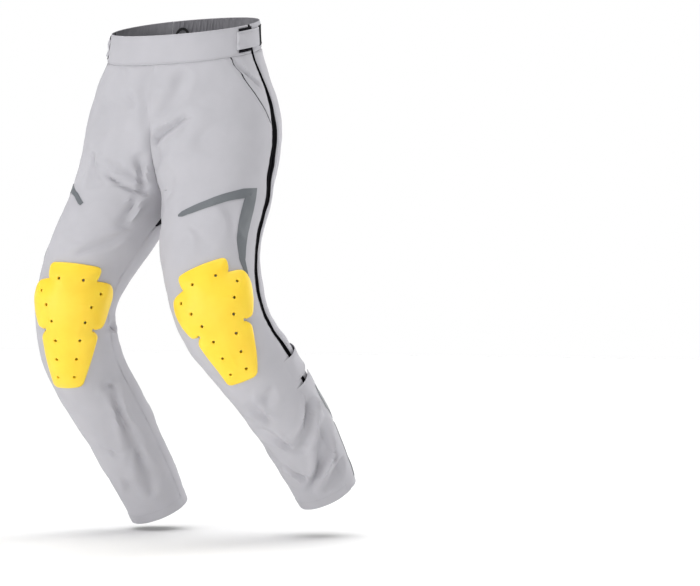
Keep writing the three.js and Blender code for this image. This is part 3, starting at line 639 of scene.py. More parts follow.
def gathers(away):
    """Uneven gathers on elastic, pinched along the sewn line at half height."""
    x, y = away["across"], away["along"]
    bend = 2.2 * np.sin(y / 14 + x / 40)
    fine = 1 - 2 * (1 - np.abs(np.sin((x + bend) / 2.5 + 1.3 * np.sin(x / 19)))) ** 1.5
    broad = 1 - 2 * (1 - np.abs(np.sin((x - bend) / 5.2 + np.sin(x / 31 + 1)))) ** 1.5
    pinch = 1 - 0.75 * np.exp(-(((y - ELASTIC_SEAM) / 2.6) ** 2))
    pinch = pinch * np.clip(np.minimum(away["top"], away["foot"]) / 4, 0.25, 1)
    fade = np.clip(np.minimum(away["start"], away["end"]) / 12, 0, 1)
    groove = -0.7 * np.exp(-(((y - ELASTIC_SEAM) / 2.0) ** 2))
    return 0.75 + (1.1 * fine + 1.4 * broad) * pinch * fade + groove


def light_gathers(away):
    return 0.3 * gathers(away) - 0.3


band = two_sided("waistband_front_cloth", constant(-90), before_zip, 1.6, ("start", "end", "foot"))
dress(band, "waistband_front")
elastic = two_sided("waistband_elastic_cloth", constant(90), constant(90 - ELASTIC_HALF), 0.45,
                    ("foot",), gathers)
dress(elastic, "waistband_elastic")
for side, name in SIDES:
    end = 90 - ELASTIC_HALF
    end -= 0.05 / mm_per_degree(side, 0, end)
    back = sheet(f"waistband_back_cloth_{name}", side, band_rows, behind_zip, constant(end), 1.2,
                 -WALL, WALL, ("start", "end", "foot"), light_gathers)
    dress(back, f"waistband_back_{name}")
print("pieces so far:", len(pieces))

# %% [markdown]
# ## Zips and pockets
#
# The side zip is a black woven tape with a nylon coil down its middle. The coil is a spiral of
# thick bristle, and from a step away it reads as a fine ribbed line, so it is made as a row of
# short rounded bars in one joined mesh. The bars are set 1.6 mm apart, a little wider than the
# real 1.2 mm, so that they still show in a picture of the whole garment.

# %% Bars, for zip coils and stitches
BAR_SIDES = 4
BAR_STATIONS = ((0.0, 0.0, 0.35), (0.5, 1.0, 1.0), (1.0, 0.0, 0.35))    # share along, rise, girth


def tube(rings):
    """Quads round a stack of rings of points, and a cap at each end."""
    after = np.roll(rings, -1, axis=1)
    around = np.stack([rings[:-1], after[:-1], after[1:], rings[1:]], -1).reshape(-1, 4)
    return around.tolist() + [rings[0][::-1].tolist(), rings[-1].tolist()]


def bars(name, starts, ends, normals, rise, radius):
    """Many short rounded bars in one mesh, each bowed up a little from its two ends."""
    run = ends - starts
    run /= np.linalg.norm(run, axis=-1, keepdims=True)
    cross = np.cross(run, normals)
    verts = []
    for share, up, girth in BAR_STATIONS:
        centre = starts + (ends - starts) * share + normals * rise * up
        for angle in 2 * np.pi * (np.arange(BAR_SIDES) + 0.5) / BAR_SIDES:
            verts.append(centre + radius * girth * (np.cos(angle) * cross + np.sin(angle) * normals))
    one = np.array(tube(np.arange(len(verts)).reshape(-1, BAR_SIDES)))
    faces = (one[None] + (np.arange(len(starts)) * len(verts))[:, None, None]).reshape(-1, BAR_SIDES)
    return finish_mesh(name, np.stack(verts, 1).reshape(-1, 3), faces.tolist(), sharp_angle=75)


COIL_STEP, COIL_HALF, COIL_RISE, COIL_RADIUS = 1.6, 1.9, 0.9, 0.62
sparse = 1
for side, name in SIDES:
    downs = crowded(SEAM_GAP, LEG_LENGTH[side], ROW_STEP)
    tape = sheet(f"zip_tape_{name}", side, downs, lambda side, d: before_zip(side, d, 0),
                 lambda side, d: behind_zip(side, d, 0), 1.5, -WALL, THIN)
    dress(tape, f"side_zip_{name}")
    at = np.arange(3, LEG_LENGTH[side] - 3, COIL_STEP * sparse)
    middle, normal = cloth_point(side, at, zip_turn(at)), cloth_normal(side, at, zip_turn(at))
    line = np.gradient(middle, axis=0)
    across = np.cross(line / np.linalg.norm(line, axis=-1, keepdims=True), normal)
    low = middle + normal * (THIN - WALL)
    coil = bars(f"zip_coil_{name}", low - across * COIL_HALF, low + across * COIL_HALF, normal,
                COIL_RISE, COIL_RADIUS)
    attach(coil)
print("coil bars on each zip:", len(at))


# %% Hand pockets
def pocket_room(side, down):
    return before_zip(side, down) - pocket_turn(down)


def mouth(side, down):
    edge = shifted(side, down, pocket_turn(down), POCKET_MOUTH[side])
    return np.minimum(edge, pocket_turn(down) + pocket_room(side, down) / 2)


def bag_start(side, down):
    return shifted(side, down, pocket_turn(down), -8)


def bag_end(side, down):
    return mouth(side, down) + pocket_room(side, down) / 4


for side, name in SIDES:
    downs = crowded(BAND_TOP, POCKET_FOOT - 4, ROW_STEP)
    facing = sheet(f"pocket_facing_cloth_{name}", side, downs, mouth, before_zip, COLUMN_STEP,
                   -WALL - 0.4, WALL, ("end", "top"))
    dress(facing, f"pocket_facing_{name}")
    bag = sheet(f"pocket_lining_{name}", side, downs, bag_start, bag_end, COLUMN_STEP,
                -WALL - REST - THIN - 0.4, THIN)
    dress(bag, f"pocket_bag_{name}")
print("pieces so far:", len(pieces))

# %% [markdown]
# ## Tapes, tabs and storm flaps
#
# Hook and loop tape lets the waist, the knees and the hems be pulled in. A tab is sewn down at
# its front end and lies over the loop tape, so it rises from the cloth over its first quarter.
# Its free edges are turned in and sewn round, which makes them firm and slightly thick.

# %% Rectangles on the cloth
DRAWN_LEG, HEM_PART = 1033, 900
PATCHES = {     # top, start, foot, end
    "waist_loop": (8, 9, 46, 52), "waist_anchor": (4.5, -22, 49.5, -5), "knee_loop": (702, 34, 739, 106),
    "knee_tab": (696, -14, 746, 52), "flap_hook": (776, 43, 828, 52), "hem_loop": (962, 70, 1022, 132),
}
WAIST_TABS = {LEFT: (10, -24, 44, 7), RIGHT: (10, -24, 44, 28)}
TAPE_LIFT, SEAM_LIFT, ANCHOR_LIFT = 0.4, 0.08, 0.1
TAB_LIFT = 2 * REST + THIN - 1.0     # where a waist tab lies above its black anchor patch, whose slivers are painted shade


def hemward(side, down):
    """Places near the hem keep their distance from it on the longer leg."""
    down = np.asarray(down, float)
    return np.where(down < HEM_PART, down, down + LEG_LENGTH[side] - DRAWN_LEG)


def over_tape(share):
    return REST + (REST + THIN) * np.minimum(1, share * 4)


def into_seam(share):
    """A flap comes out of its seam level with the cloth, then lies over the tape."""
    rise = np.clip(share / 0.3, 0, 1)
    return (SEAM_LIFT - WALL) + (over_tape(1.0) + WALL - SEAM_LIFT) * rise**2 * (3 - 2 * rise)


def on_anchor(share):
    return ANCHOR_LIFT + (TAB_LIFT - ANCHOR_LIFT) * np.clip(share / 0.05, 0, 1)


def turned_edge(away):
    """A sewn edge: a slight ridge at the rim and a groove where the thread runs."""
    near = np.minimum(np.minimum(away["end"], away["top"]), away["foot"])
    return 0.35 * np.exp(-((near / 2.2) ** 2)) - 0.35 * np.exp(-(((near - 4.5) / 1.4) ** 2))


def rucked_tab(away):
    """A waist tab is rucked where it is sewn down."""
    rucks = np.sin(away["down"] / 3.3 + 1.7 * np.sin(away["start"] / 5))
    rucks = rucks * np.exp(-((away["start"] - 8) / 9) ** 2)
    sway = np.sin(away["start"] / 6.5 + 0.8 * np.sin(away["down"] / 7))
    return turned_edge(away) + 1.1 * rucks + 0.35 * sway


print("a flap leaves its seam at", SEAM_LIFT - WALL, "and lies at", over_tape(1.0), "mm")


# %% The tapes and tabs
def patch_place(side, label):
    top, start, foot, end = PATCHES[label]
    return float(hemward(side, top)), start, float(hemward(side, foot)), end


def rectangle(name, side, place, lift, thick, step=3.0, extra=None):
    top, start, foot, end = place
    return sheet(name, side, crowded(top, foot, step), constant(start), constant(end), step, lift, thick,
                 extra=extra)


# The black anchor patch under the front end of each waist tab shows above and below the tab as dark slivers.
# It is a backing, and also painted shade of the gap under the tab's raised end.
for side, name in SIDES:
    for label, node, patch, slot in (
        ("waist_loop_tape", "waist_loop_patch", "waist_loop", "loop_tape"),
        ("waist_anchor_tape", "waist_anchor", "waist_anchor", "loop_tape"),
        ("knee_loop_tape", "knee_loop_patch", "knee_loop", "loop_tape"),
        ("flap_hook_tape", "flap_hook_strip", "flap_hook", "hook_tape"),
        ("hem_loop_tape", "hem_loop_patch", "hem_loop", "loop_tape"),
    ):
        tape = rectangle(f"{label}_{name}", side, patch_place(side, patch), TAPE_LIFT, THIN)
        dress(tape, f"{node}_{name}")
    waist_tab = rectangle(f"waist_tab_cloth_{name}", side, WAIST_TABS[side], on_anchor, WALL, 2.0, rucked_tab)
    dress(waist_tab, f"waist_tab_{name}")
    knee_tab = rectangle(f"knee_tab_cloth_{name}", side, PATCHES["knee_tab"], into_seam, WALL,
                         extra=turned_edge)
    dress(knee_tab, f"knee_tab_{name}")
print("pieces so far:", len(pieces))

# %% Storm flaps over the lower zips
FLAP_ROWS = [758, 830, 944, 957, 1029]
FLAP_FRONT, FLAP_REAR = -16, [34, 41, 42, 84, 86]


def flap_rear(side, down):
    return np.interp(down, hemward(side, FLAP_ROWS), FLAP_REAR)


for side, name in SIDES:
    keys = hemward(side, FLAP_ROWS)
    downs = np.concatenate([crowded(keys[0], keys[2], ROW_STEP)[:-1], np.linspace(keys[2], keys[3], 9),
                            crowded(keys[3], keys[4], 4.0)[1:]])
    flap = sheet(f"storm_flap_cloth_{name}", side, downs, constant(FLAP_FRONT), flap_rear, 4.0,
                 into_seam, WALL, extra=turned_edge)
    dress(flap, f"storm_flap_{name}")
print("flaps, top and foot in mm down the leg:", np.round(hemward(LEFT, FLAP_ROWS)[[0, -1]]))

# %% [markdown]
# ## Reflective film
#
# The grey shapes on the thighs and calves are film with tiny glass beads, pressed on with heat.
# They have no stitches. Each is a strip along a middle line with its own width at each point,
# so that it can taper to a tip and turn a corner as the cut shapes do.

# %% Strips of film
# A place on a strip: distance down, turn, width in mm.
THIGH_BEND = [(360, -20, 24), (400, -20, 28), (436, -20, 28), (468, -22, 22), (500, -23, 13), (534, -17, 4)]
THIGH_STRIP = {
    LEFT: [(419, -99, 4), (417, -94, 12), (411, -83, 15), (397, -65, 18), (378, -46, 20), (364, -29, 23)],
    RIGHT: [(392, -81, 8), (388, -77, 10), (369, -65, 11), (355, -52, 13), (344, -39, 18), (348, -28, 22)],
}
SHIN_LEAF = [(792, 14, 3), (812, 11, 12), (838, 12, 15), (862, 20, 9), (880, 27, 3)]
SHIN_STRIP = [(892, 29, 6), (930, 25, 14), (975, 22, 15), (1010, 20, 15), (1013, 44, 14),
              (1014, 66, 12), (1014, 76, 6)]
SHIN_TURN = {LEFT: 12, RIGHT: 0}     # the left ones sit further round the leg
STRIP_COLUMNS, STRIP_STEP = 7, 3.0
ON_CLOTH, ON_FLAP = 0.5, over_tape(1.0) + WALL + 0.5


def strip(name, side, line, lift):
    """A closed sheet along a middle line of (down, turn, width), with mitred corners."""
    line = [(float(hemward(side, d)), t, w) for d, t, w in line]
    fine = [line[0]]
    for a, b in zip(line, line[1:]):
        scale = float(mm_per_degree(side, a[0], a[1]))
        count = math.ceil(math.hypot(b[0] - a[0], (b[1] - a[1]) * scale) / STRIP_STEP)
        fine += [tuple(p + (q - p) * k / count for p, q in zip(a, b)) for k in range(1, count + 1)]
    fine = np.array(fine)
    scale = mm_per_degree(side, fine[:, 0], fine[:, 1])
    run = np.diff(np.stack([fine[:, 1] * scale, fine[:, 0]], -1), axis=0)
    run /= np.linalg.norm(run, axis=-1, keepdims=True)
    before, after = np.vstack([run[:1], run]), np.vstack([run, run[-1:]])
    along = before + after
    along /= np.linalg.norm(along, axis=-1, keepdims=True)
    normal = np.stack([-along[:, 1], along[:, 0]], -1)
    mitre = np.abs(normal[:, 0] * -before[:, 1] + normal[:, 1] * before[:, 0])
    reach = (fine[:, 2] / 2 / np.maximum(mitre, 0.4))[:, None]
    across = reach * np.linspace(-1, 1, STRIP_COLUMNS)
    downs = fine[:, :1] + normal[:, 1:] * across
    turns = fine[:, 1:2] + normal[:, :1] * across / scale[:, None]
    base, out = cloth_point(side, downs, turns), cloth_normal(side, downs, turns)
    down_strip = np.repeat(-np.arange(len(fine))[:, None] * STRIP_STEP, STRIP_COLUMNS, 1)
    piece = two_faced(name, base + out * (lift + FILM), base + out * lift, np.stack([across, down_strip], -1))
    piece["cut"] = cut_of(base)
    return piece


for side, name in SIDES:
    shin_leaf, shin_strip = ([(d, turn + SHIN_TURN[side] * (turn < 60), w) for d, turn, w in line]
                             for line in (SHIN_LEAF, SHIN_STRIP))
    for label, node, line, lift in (
        ("thigh_film", "thigh_reflective", THIGH_STRIP[side] + THIGH_BEND, ON_CLOTH),
        ("shin_leaf_film", "shin_leaf", shin_leaf, ON_FLAP),
        ("shin_film", "shin_reflective", shin_strip, ON_FLAP),
    ):
        dress(strip(f"{label}_{name}", side, line, lift), f"{node}_{name}")
print("pieces so far:", len(pieces))

# %% [markdown]
# ## Knee armour
#
# The pads are moulded from dense yellow foam rubber, about 12 mm thick in the middle and thin
# at the rim, with notches that let them bend and rows of air holes. The outline is symmetric,
# so a short table of half-widths down the pad gives it. The thickness comes from the distance
# to the outline, which rounds every edge and every notch alike. The holes are then drilled with
# a boolean, which cuts cleaner round edges than any grid could.

# %% Pad outline and holes
# A row of the outline: distance down the pad, half its width. A hole: distance down the pad,
# distance from its middle line.
PAD_OUTLINE = [(0, 36), (1.5, 39.5), (4, 41.5), (8, 42.5), (16, 42), (22, 40.5), (25, 39), (25.4, 39),
               (25.8, 56), (27, 62), (30, 67), (36, 71), (44, 73.5), (54, 74.5), (66, 73), (80, 69),
               (92, 63.5), (99, 59.5), (103, 56), (104.5, 52), (105, 43), (106, 41), (108, 41.5), (111, 45),
               (115, 47.5), (119, 48), (130, 45.5), (150, 40.5), (190, 30), (199, 27.5), (203, 24), (205, 18)]
PAD_HOLES = [(26, 20), (44, 52), (70, 37.5), (92, 28), (118, 20), (148, 16.3), (180, 14.2), (105.5, 45)]
# Where the pad lies on the leg: distance down the pad, down and turn on the cloth, tilt.
PAD_PLACES = {
    LEFT: [(0, 512, -74.5, -14), (26, 535, -71.5, -14), (44, 551, -69.5, -12.5), (70, 571, -67, -10.5),
           (92, 591, -65, -8.5), (118, 616, -64.2, -6), (148, 643, -66.5, -3.5), (180, 671, -71.5, -3),
           (205, 693, -76.5, -3)],
    RIGHT: [(0, 506, -109.5, 7), (26, 531, -111.3, 7), (44, 550, -113.2, 5.5), (70, 572, -114.9, 2),
            (92, 595, -115, -1.5), (118, 622, -112, -4), (148, 651, -105.5, -7), (180, 681, -97, -8),
            (205, 705, -89, -8)],
}
PAD_REST, PAD_THICK, PAD_EDGE, PAD_WIDEN, PAD_RIM = 1.2, 12, 4, 1.12, 0.6
PAD_STEP = 1.8
MIDDLE_HALF, OUTER_HALF = 41, 38     # the middle columns keep their distance apart, the outer ones crowd
HOLE, HOLE_RING = 2.6, 24            # radius in mm, points round it

place_tables = {side: prepare([r[0] for r in rows], [r[1:] for r in rows])
                for side, rows in PAD_PLACES.items()}
outline_rows, outline_half = np.array(PAD_OUTLINE, float).T
outline_half = outline_half * PAD_WIDEN
pad_outline = np.vstack([np.stack([outline_half, outline_rows], -1),
                         np.stack([-outline_half, outline_rows], -1)[::-1]])


print("air holes on each pad:", 2 * len(PAD_HOLES), "pad length in mm:", outline_rows[-1])


# %% Form of a pad
def pad_thickness(x, along):
    """Thickness at flat points on the pad, from their distance to its outline."""
    edge = np.full(np.shape(x), np.inf)
    for (ax, ay), (bx, by) in zip(pad_outline, np.roll(pad_outline, -1, axis=0)):
        ex, ey = bx - ax, by - ay
        t = np.clip(((x - ax) * ex + (along - ay) * ey) / (ex * ex + ey * ey), 0, 1)
        edge = np.minimum(edge, np.hypot(x - ax - ex * t, along - ay - ey * t))
    roll = np.sqrt(1 - (1 - np.clip(edge / PAD_EDGE, 0, 1)) ** 2)
    crown = 1 - np.exp(-edge / 22)
    return PAD_RIM + (PAD_EDGE - PAD_RIM) * roll + (PAD_THICK - PAD_EDGE) * crown * 1.05


def pad_place(side, x, along):
    """Point and outward direction on the leg of flat points on the pad."""
    down, middle, tilt = np.moveaxis(read(place_tables[side], along), -1, 0)
    place = side, down + x * np.tan(np.radians(tilt)), shifted(side, down, middle, x), False
    return cloth_point(*place), cloth_normal(*place)


def pad_grid():
    along = np.unique(np.concatenate([np.arange(0, outline_rows[-1], PAD_STEP), outline_rows]))
    half = np.interp(along, outline_rows, outline_half)[:, None]
    inside = np.minimum(half, MIDDLE_HALF) * 0.97
    middle = np.linspace(-1, 1, int(2 * MIDDLE_HALF / PAD_STEP) + 1)
    crowd = 1 - (1 - np.linspace(0, 1, int(OUTER_HALF / PAD_STEP) + 1)[1:]) ** 1.3
    right = inside + (half - inside) * crowd
    x = np.hstack([-right[:, ::-1], inside * middle, right])
    return x, np.repeat(along[:, None], x.shape[1], axis=1)


print("middle of a pad in mm:", round(float(pad_thickness(0.0, 60.0)), 1))


# %% Drills for the air holes
def drill(side):
    """A drill for each air hole, with a flare that rounds the rim of the hole."""
    verts, faces = [], []
    for along, reach in PAD_HOLES:
        for x in (-reach, reach):
            point, out = pad_place(side, x, along)
            surface = PAD_REST + float(pad_thickness(x, along))
            aside = np.cross(out, (0, 0, 1.0))
            aside /= np.linalg.norm(aside)
            other = np.cross(out, aside)
            faces += tube(len(verts) + np.arange(4 * HOLE_RING).reshape(4, HOLE_RING))
            stations = ((-6, HOLE), (surface - 1.2, HOLE), (surface - 0.3, 3.0), (surface + 3, 5.5))
            for height, radius in stations:
                for angle in 2 * np.pi * np.arange(HOLE_RING) / HOLE_RING:
                    around = np.cos(angle) * aside + np.sin(angle) * other
                    verts.append(point + out * height + radius * around)
    return finish_mesh("drill", verts, faces)


print("points round a hole:", HOLE_RING)

# %% The pads
x, along = pad_grid()
thick = pad_thickness(x, along)[..., None]
rim_lift = PAD_REST + 0.6 * (1 - np.clip(thick / PAD_EDGE, 0, 1))
for side, name in SIDES:
    base, normal = pad_place(side, x, along)
    armour = two_faced(f"knee_pad_{name}", base + normal * (rim_lift + thick), base + normal * rim_lift,
                       sharp_angle=60)
    cut = armour.modifiers.new("air holes", "BOOLEAN")
    cut.operation, cut.object, cut.solver = "DIFFERENCE", drill(side), "EXACT"
    bpy.context.view_layer.update()
    armour.data = bpy.data.meshes.new_from_object(
        armour.evaluated_get(bpy.context.evaluated_depsgraph_get()))
    armour.modifiers.clear()
    bpy.data.objects.remove(pieces.pop("drill"))
    attach(armour, f"knee_armour_{name}")
    print(armour.name, "faces:", len(armour.data.polygons))

# %% [markdown]
# ## Hanger loop
#
# A short loop of tape is sewn inside the back of the waistband, so that the trousers can be
# hung up. Its two ends are caught in the seam and it stands up as an arch.

# %% The loop
HANGER = dict(turn=66, foot=34, rise=17, half=5, width=5, depth=1.2, inside=3.4)
angles = (np.pi * np.arange(37) / 36)[:, None]
grow = np.linspace(-1, 1, 7) * HANGER["width"] / 2
scale = float(mm_per_degree(RIGHT, HANGER["foot"], HANGER["turn"]))
turn = HANGER["turn"] + np.cos(angles) * (HANGER["half"] + grow / scale)
down = HANGER["foot"] - np.sin(angles) * (HANGER["rise"] + grow)
base, normal = cloth_point(RIGHT, down, turn, False), cloth_normal(RIGHT, down, turn, False)
off = -WALL - SEAM_GAP - (HANGER["inside"] - WALL - SEAM_GAP) * np.sin(angles)[..., None]
loop = two_faced("hanger_loop_tape", base + normal * off, base + normal * (off - HANGER["depth"]))
attach(loop, "hanger_loop")
print("hanger loop stands mm above its seam:", HANGER["rise"])

# %% [markdown]
# ## Stitching
#
# Every seam of a riding garment is topstitched with thick thread: two rows where it takes a
# load, one row elsewhere. A stitch is a bar of thread about 3 mm long that dips into the cloth
# at each end. The rows follow the same functions as the seams, so they can't drift off them.
# All rows of one colour on one side are joined into one mesh.

# %% Rows of stitches
STITCH, STITCH_PITCH, THREAD, STITCH_RISE = 2.6, 3.6, 0.34, 0.28


def row_of_stitches(store, side, downs, turns, lift):
    """Cuts a line on the cloth into stitches."""
    downs, turns, lift = np.broadcast_arrays(*(np.asarray(v, float) for v in (downs, turns, lift)))
    points = cloth_point(side, downs, turns)
    length = np.concatenate([[0], np.cumsum(np.linalg.norm(np.diff(points, axis=0), axis=-1))])
    at = np.arange(0, length[-1] - STITCH, STITCH_PITCH * sparse)
    ends, normals = [], []
    for place in (at, at + STITCH):
        d, t, h = (np.interp(place, length, v) for v in (downs, turns, lift))
        normals.append(cloth_normal(side, d, t))
        ends.append(cloth_point(side, d, t) + normals[-1] * h[:, None])
    store.append((*ends, normals[0]))


def stitch_piece(name, store):
    starts, ends, normals = (np.vstack(part) for part in zip(*store))
    attach(bars(name, starts, ends, normals, STITCH_RISE, THREAD))
    print(name, "stitches:", len(starts))


def box_stitch(store, side, place, inset, lift):
    """Stitches round a rectangle. lift gives their height at a share of the way across."""
    top, start, foot, end = place
    scale = float(mm_per_degree(side, (top + foot) / 2, (start + end) / 2))
    down = np.linspace(top + inset, foot - inset, 12)
    share = np.linspace(0, 1, 24)
    turn = np.linspace(start + inset / scale, end - inset / scale, 24)
    row_of_stitches(store, side, down, turn[0], lift(0.0))
    row_of_stitches(store, side, down, turn[-1], lift(1.0))
    for at in (down[0], down[-1]):
        row_of_stitches(store, side, at, turn, lift(share))


print("stitches in 100 mm:", round(100 / STITCH_PITCH))


# %% Where the rows run
def lines_down(side, hem):
    """Rows that keep their distance from a seam: places down, the seam, mm beside it."""
    leg = np.linspace(BAND_TOP + 2, hem - 3, 260)
    below = leg[leg > POCKET_FOOT]
    pocket = np.linspace(BAND_TOP + 2, POCKET_FOOT - 4, 50)
    inseam = np.linspace(GUSSET["foot"] + 6, hem - 3, 200)
    seat = np.linspace(BAND_TOP + 3, GUSSET["top"] - 2, 70)
    return ((leg, behind_zip(side, leg), 3.0), (leg, behind_zip(side, leg), 7.5),
            (below, before_zip(side, below), -3.0),
            (pocket, pocket_turn(pocket), -3.0), (pocket, pocket_turn(pocket), -8.0),
            (inseam, -inner_turn(side, inseam), 3.0), (seat, inner_turn(side, seat), -3.0))


def lines_round(side, hem):
    """Rows round the leg: place down, first and last turn, points, height."""
    elastic = 90 - ELASTIC_HALF
    rim, hem_seam = BAND_TOP + 2.6, hem - 20
    lines = [(rim, -90, front_edge(side, BAND_TOP) - 1, 60, 0.0),
             (rim, behind_zip(side, BAND_TOP) + 1, 90, 70, 0.0)]
    for at in (3.0, BAND_HEIGHT - 3.0):
        lines += [(at, -90, before_zip(side, at) - 1, 70, 0.05),
                  (at, behind_zip(side, at) + 1, elastic - 1, 40, 0.05)]
    return lines + [(ELASTIC_SEAM, elastic + 1, 90, 40, 0.25),
                    (hem_seam, 1 - inner_turn(side, hem), front_edge(side, hem) - 2, 50, 0.45),
                    (hem_seam, behind_zip(side, hem) + 2, inner_turn(side, hem) - 1, 50, 0.45)]


print("rows round each leg:", len(lines_round(LEFT, LEG_LENGTH[LEFT])))

# %% All the stitching
for side, name in SIDES:
    grey, black = [], []
    for downs, seam, offset in lines_down(side, LEG_LENGTH[side]):
        row_of_stitches(grey, side, downs, shifted(side, downs, seam, offset), 0.05)
    for at, first, last, count, lift in lines_round(side, LEG_LENGTH[side]):
        row_of_stitches(grey, side, at, np.linspace(float(first), float(last), count), lift)
    box_stitch(grey, side, WAIST_TABS[side], 4.0, lambda share: TAB_LIFT + WALL)
    box_stitch(grey, side, PATCHES["knee_tab"], 4.0, lambda share: into_seam(share) + WALL)
    keys = hemward(side, FLAP_ROWS)
    flap_at = np.linspace(keys[0] + 4, keys[4] - 4, 80)
    for edge, offset, share in ((FLAP_FRONT, 4.0, 0.08), (flap_rear(side, flap_at), -4.5, 1.0)):
        row_of_stitches(grey, side, flap_at, shifted(side, flap_at, edge, offset), into_seam(share) + WALL)
    for at in (flap_at[0], flap_at[-1]):
        across = np.linspace(FLAP_FRONT + 4, float(flap_rear(side, at)) - 4, 40)
        row_of_stitches(grey, side, at, across, into_seam(np.linspace(0, 1, 40)) + WALL)
    stitch_piece(f"stitching_grey_{name}", grey)
    for patch in ("waist_loop", "waist_anchor", "knee_loop", "flap_hook", "hem_loop"):
        box_stitch(black, side, patch_place(side, patch), 1.8, lambda share: TAPE_LIFT + THIN)
    stitch_piece(f"stitching_black_{name}", black)

# %% [markdown]
# ## Materials
#
# Every finish is procedural. One function turns the colour of a swatch into the linear values
# that the shader needs, and one adds a node with its settings and links. Weaves and ribs are
# drawn on the cloth map, which is in metres, so their scale comes straight from a size in mm.

# %% Colours and nodes
def linear(hex_colour):
    """An sRGB hex colour as linear RGBA."""
    values = [((hex_colour >> shift) & 255) / 255 for shift in (16, 8, 0)]
    return tuple(v / 12.92 if v <= 0.04045 else ((v + 0.055) / 1.055) ** 2.4 for v in values) + (1.0,)


def add_node(tree, kind, links=(), **settings):
    """Adds a node. Settings are its properties or, by name, its sockets. Links feed its sockets
    from an output, or from the first output of a node."""
    node = tree.nodes.new("ShaderNode" + kind)
    for key, value in settings.items():
        if hasattr(node, key):
            setattr(node, key, value)
        else:
            socket = next(s for s in node.inputs if s.name.lower() == key.replace("_", " ").lower())
            socket.default_value = value
    for target, source in links:
        tree.links.new(getattr(source, "outputs", [source])[0], node.inputs[target])
    return node


def per_metre(size_mm):
    """How often a pattern of this size repeats in a metre."""
    return 1 / (size_mm * MM)


print("shell colour, linear:", [round(v, 3) for v in linear(0xB4B3B8)])


# %% Finishes and their relief
def finish(name, colour, roughness, tones=None, drift_mm=0, detail=4.0, **shader):
    """A material whose colour drifts between two close tones."""
    material = bpy.data.materials.new(name)
    material.use_nodes = True
    material.diffuse_color = linear(colour)
    tree = material.node_tree
    tree.nodes.clear()
    surface = add_node(tree, "BsdfPrincipled", Base_Color=linear(colour), Roughness=roughness, **shader)
    add_node(tree, "OutputMaterial", [("Surface", surface)])
    position = add_node(tree, "TexCoord").outputs["Object"]
    if tones:
        drift = add_node(tree, "TexNoise", [("Vector", position)], Scale=per_metre(drift_mm), Detail=detail)
        ramp = add_node(tree, "ValToRGB", [(0, drift)])
        for stop, place, tone in zip(ramp.color_ramp.elements, (0.3, 0.7), tones):
            stop.position, stop.color = place, linear(tone)
        tree.links.new(ramp.outputs[0], surface.inputs["Base Color"])
    return material, tree, surface, position


def woven(tree, at, spacing_mm):
    """Height of a plain weave, whose yarns pass over and under each other."""
    split = add_node(tree, "SeparateXYZ", [(0, at)])
    waves = []
    for axis in split.outputs[:2]:
        turned = add_node(tree, "Math", [(0, axis)], operation="MULTIPLY")
        turned.inputs[1].default_value = math.pi * per_metre(spacing_mm)
        waves.append(add_node(tree, "Math", [(0, turned)], operation="SINE"))
    return add_node(tree, "Math", [(0, waves[0]), (1, waves[1])], operation="MULTIPLY")


def relief(tree, surface, *layers):
    """Presses layers into a surface, one over the other: a height, its strength, its depth in mm."""
    under = []
    for height, strength, depth_mm in layers:
        layer = add_node(tree, "Bump", [("Height", height), *under], Strength=strength,
                         Distance=depth_mm * MM)
        under = [("Normal", layer)]
    tree.links.new(layer.outputs[0], surface.inputs["Normal"])


print("yarns in a metre of shell as drawn:", round(per_metre(1.1)))

# %% Shell cloth
# Plain-woven polyester with a dull coating on its back. Woven from matt yarn, it scatters light
# evenly, with a faint sheen along the folds, and its yarns hide their gloss where they are seen
# edge on, so its IOR is set below that of plain polyester. Real yarns lie about 0.5 mm apart,
# too fine to show, so they are drawn at 1.1 mm, and their slubs at 2.4 mm.
YARN = 1.1
shell, tree, surface, position = finish(
    "woven_polyester_shell", 0xB4B3B8, 0.8, (0xB7B6BB, 0xB1B0B5), 71.4,
    Sheen_Weight=0.04, Sheen_Roughness=0.45, IOR=1.2)
weave = woven(tree, add_node(tree, "UVMap", uv_map="cloth"), YARN)
slub = add_node(tree, "TexNoise", [("Vector", position)], Scale=per_metre(2.38), Detail=3.0)
relief(tree, surface, (weave, 0.3, 0.1), (slub, 0.22, 0.12))
# The inner face is a darker grey than the shell. That is partly the dull coating on the back of the cloth and
# partly painted shade of the inside of the trousers.
inside_cloth_with_painted_shade, tree, surface, position = finish(
    "coated_inner_face_with_painted_shade", 0x85848A, 0.85, (0x807F84, 0x8A898E), 25)
relief(tree, surface, (woven(tree, add_node(tree, "UVMap", uv_map="cloth"), YARN), 0.3, 0.1))
print("cloth:", shell.name, "and", inside_cloth_with_painted_shade.name)

# %% Black tapes, gusset and lining
# Loop tape is brushed nylon: a pile of fine loops, in tufts about 2 mm wide, that swallows light
# and shows a grey bloom at its edges. Hook tape is a field of stiff little hooks 1.5 mm apart,
# and shines a little. The gusset is stretch cloth whose fine ribs are drawn 1.4 mm apart, the
# zip tape a dense twill and the pocket lining a soft knit, all as coarse as they need to show.
loop_tape, tree, surface, position = finish(
    "brushed_nylon_loop_tape", 0x17161A, 0.95, (0x111014, 0x1E1D22), 6.25,
    Sheen_Weight=0.03, Sheen_Roughness=0.6, IOR=1.04)
pile = add_node(tree, "TexNoise", [("Vector", position)], Scale=per_metre(1.11), Detail=5.0)
tufts = add_node(tree, "TexVoronoi", [("Vector", position)], Scale=per_metre(1.92))
relief(tree, surface, (add_node(tree, "Math", [(0, pile), (1, tufts)], operation="ADD"), 0.9, 0.5))
hook_tape, tree, surface, position = finish(
    "nylon_hook_tape", 0x0E0D10, 0.6, (0x0A090C, 0x141317), 3.33, IOR=1.15)
hooks = add_node(tree, "TexVoronoi", [("Vector", position)], Scale=per_metre(1.56))
relief(tree, surface, (hooks, 0.8, 0.6))
